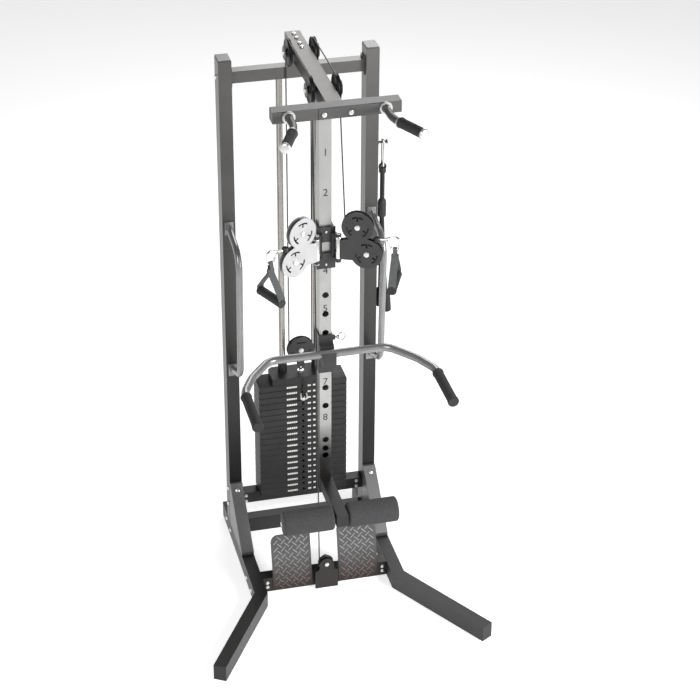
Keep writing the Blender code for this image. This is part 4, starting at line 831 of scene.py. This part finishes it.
place(tube(bottom, (0, 1, 0)), "cable_float", CABLE, "weight", ["cable_main"], 70)
low_route = [Vector((-46, -402, 2039.7)), Vector((-26, -402, 118))]
low_route += [Vector((26 * math.cos(math.radians(180 + 7.5 * k)), -402, 112 + 26 * math.sin(math.radians(180 + 7.5 * k)))) for k in range(25)]
low_route.append(Vector((26, -402, 126)))
place(tube(low_route, (0, 1, 0)), "cable_low_fine", CABLE, "frame", ["cable_low"], 70)

# ---------------------------------------------------------------- anything of the CAD still shown
for n, o in NODES.items():
    if not o.hide_render:
        o.data.materials.clear()
        o.data.materials.append(PAINT)

# ---------------------------------------------------------------- floor and light
me = bpy.data.meshes.new("floor")
me.from_pydata([(-30, -30, 0), (30, -30, 0), (30, 30, 0), (-30, 30, 0)], [], [(0, 1, 2, 3)])
floor = bpy.data.objects.new("floor", me)
bpy.context.scene.collection.objects.link(floor)
fm = bpy.data.materials.new("floor_white")
fm.use_nodes = True
fb = fm.node_tree.nodes["Principled BSDF"]
fb.inputs["Base Color"].default_value = (0.90, 0.90, 0.90, 1)
fb.inputs["Emission Color"].default_value = (1, 1, 1, 1)
fb.inputs["Emission Strength"].default_value = 0.60
fb.inputs["Roughness"].default_value = 0.9
fb.inputs["Specular IOR Level"].default_value = 0.1
me.materials.append(fm)
floor.location.z = -0.0005

world = bpy.data.worlds.new("studio")
bpy.context.scene.world = world
world.use_nodes = True
bg = world.node_tree.nodes["Background"]
wt = world.node_tree
wc = wt.nodes.new("ShaderNodeTexCoord")
ws = wt.nodes.new("ShaderNodeSeparateXYZ")
wr = wt.nodes.new("ShaderNodeValToRGB")
wt.links.new(wc.outputs["Generated"], ws.inputs["Vector"])
wt.links.new(ws.outputs["Z"], wr.inputs["Fac"])
wr.color_ramp.elements[0].position = 0.0
wr.color_ramp.elements[0].color = (1.0, 1.0, 1.0, 1)
wr.color_ramp.elements[1].position = 0.55
wr.color_ramp.elements[1].color = (0.10, 0.10, 0.10, 1)
wt.links.new(wr.outputs["Color"], bg.inputs["Color"])
bg.inputs["Strength"].default_value = 0.85


def area(name, loc, target, size, power, colour=(1, 1, 1)):
    li = bpy.data.lights.new(name, "AREA")
    li.shape = "SQUARE"
    li.size = size
    li.energy = power
    li.color = colour
    o = bpy.data.objects.new(name, li)
    bpy.context.scene.collection.objects.link(o)
    o.location = loc
    o.rotation_mode = "QUATERNION"
    o.rotation_quaternion = (Vector(target) - Vector(loc)).to_track_quat("-Z", "Y")
    return o


area("key", (-2.6, -3.2, 4.8), (0, 0.2, 1.0), 2.6, 120)
area("fill", (3.6, -2.6, 3.0), (0, 0.2, 1.0), 3.0, 74)
area("rim", (1.5, 4.0, 3.8), (0, 0.2, 1.2), 2.4, 70)
area("top_right", (1.7, -1.9, 2.3), (0.27, 0.36, 1.8), 0.6, 60)
bpy.context.scene.view_settings.view_transform = "Standard"
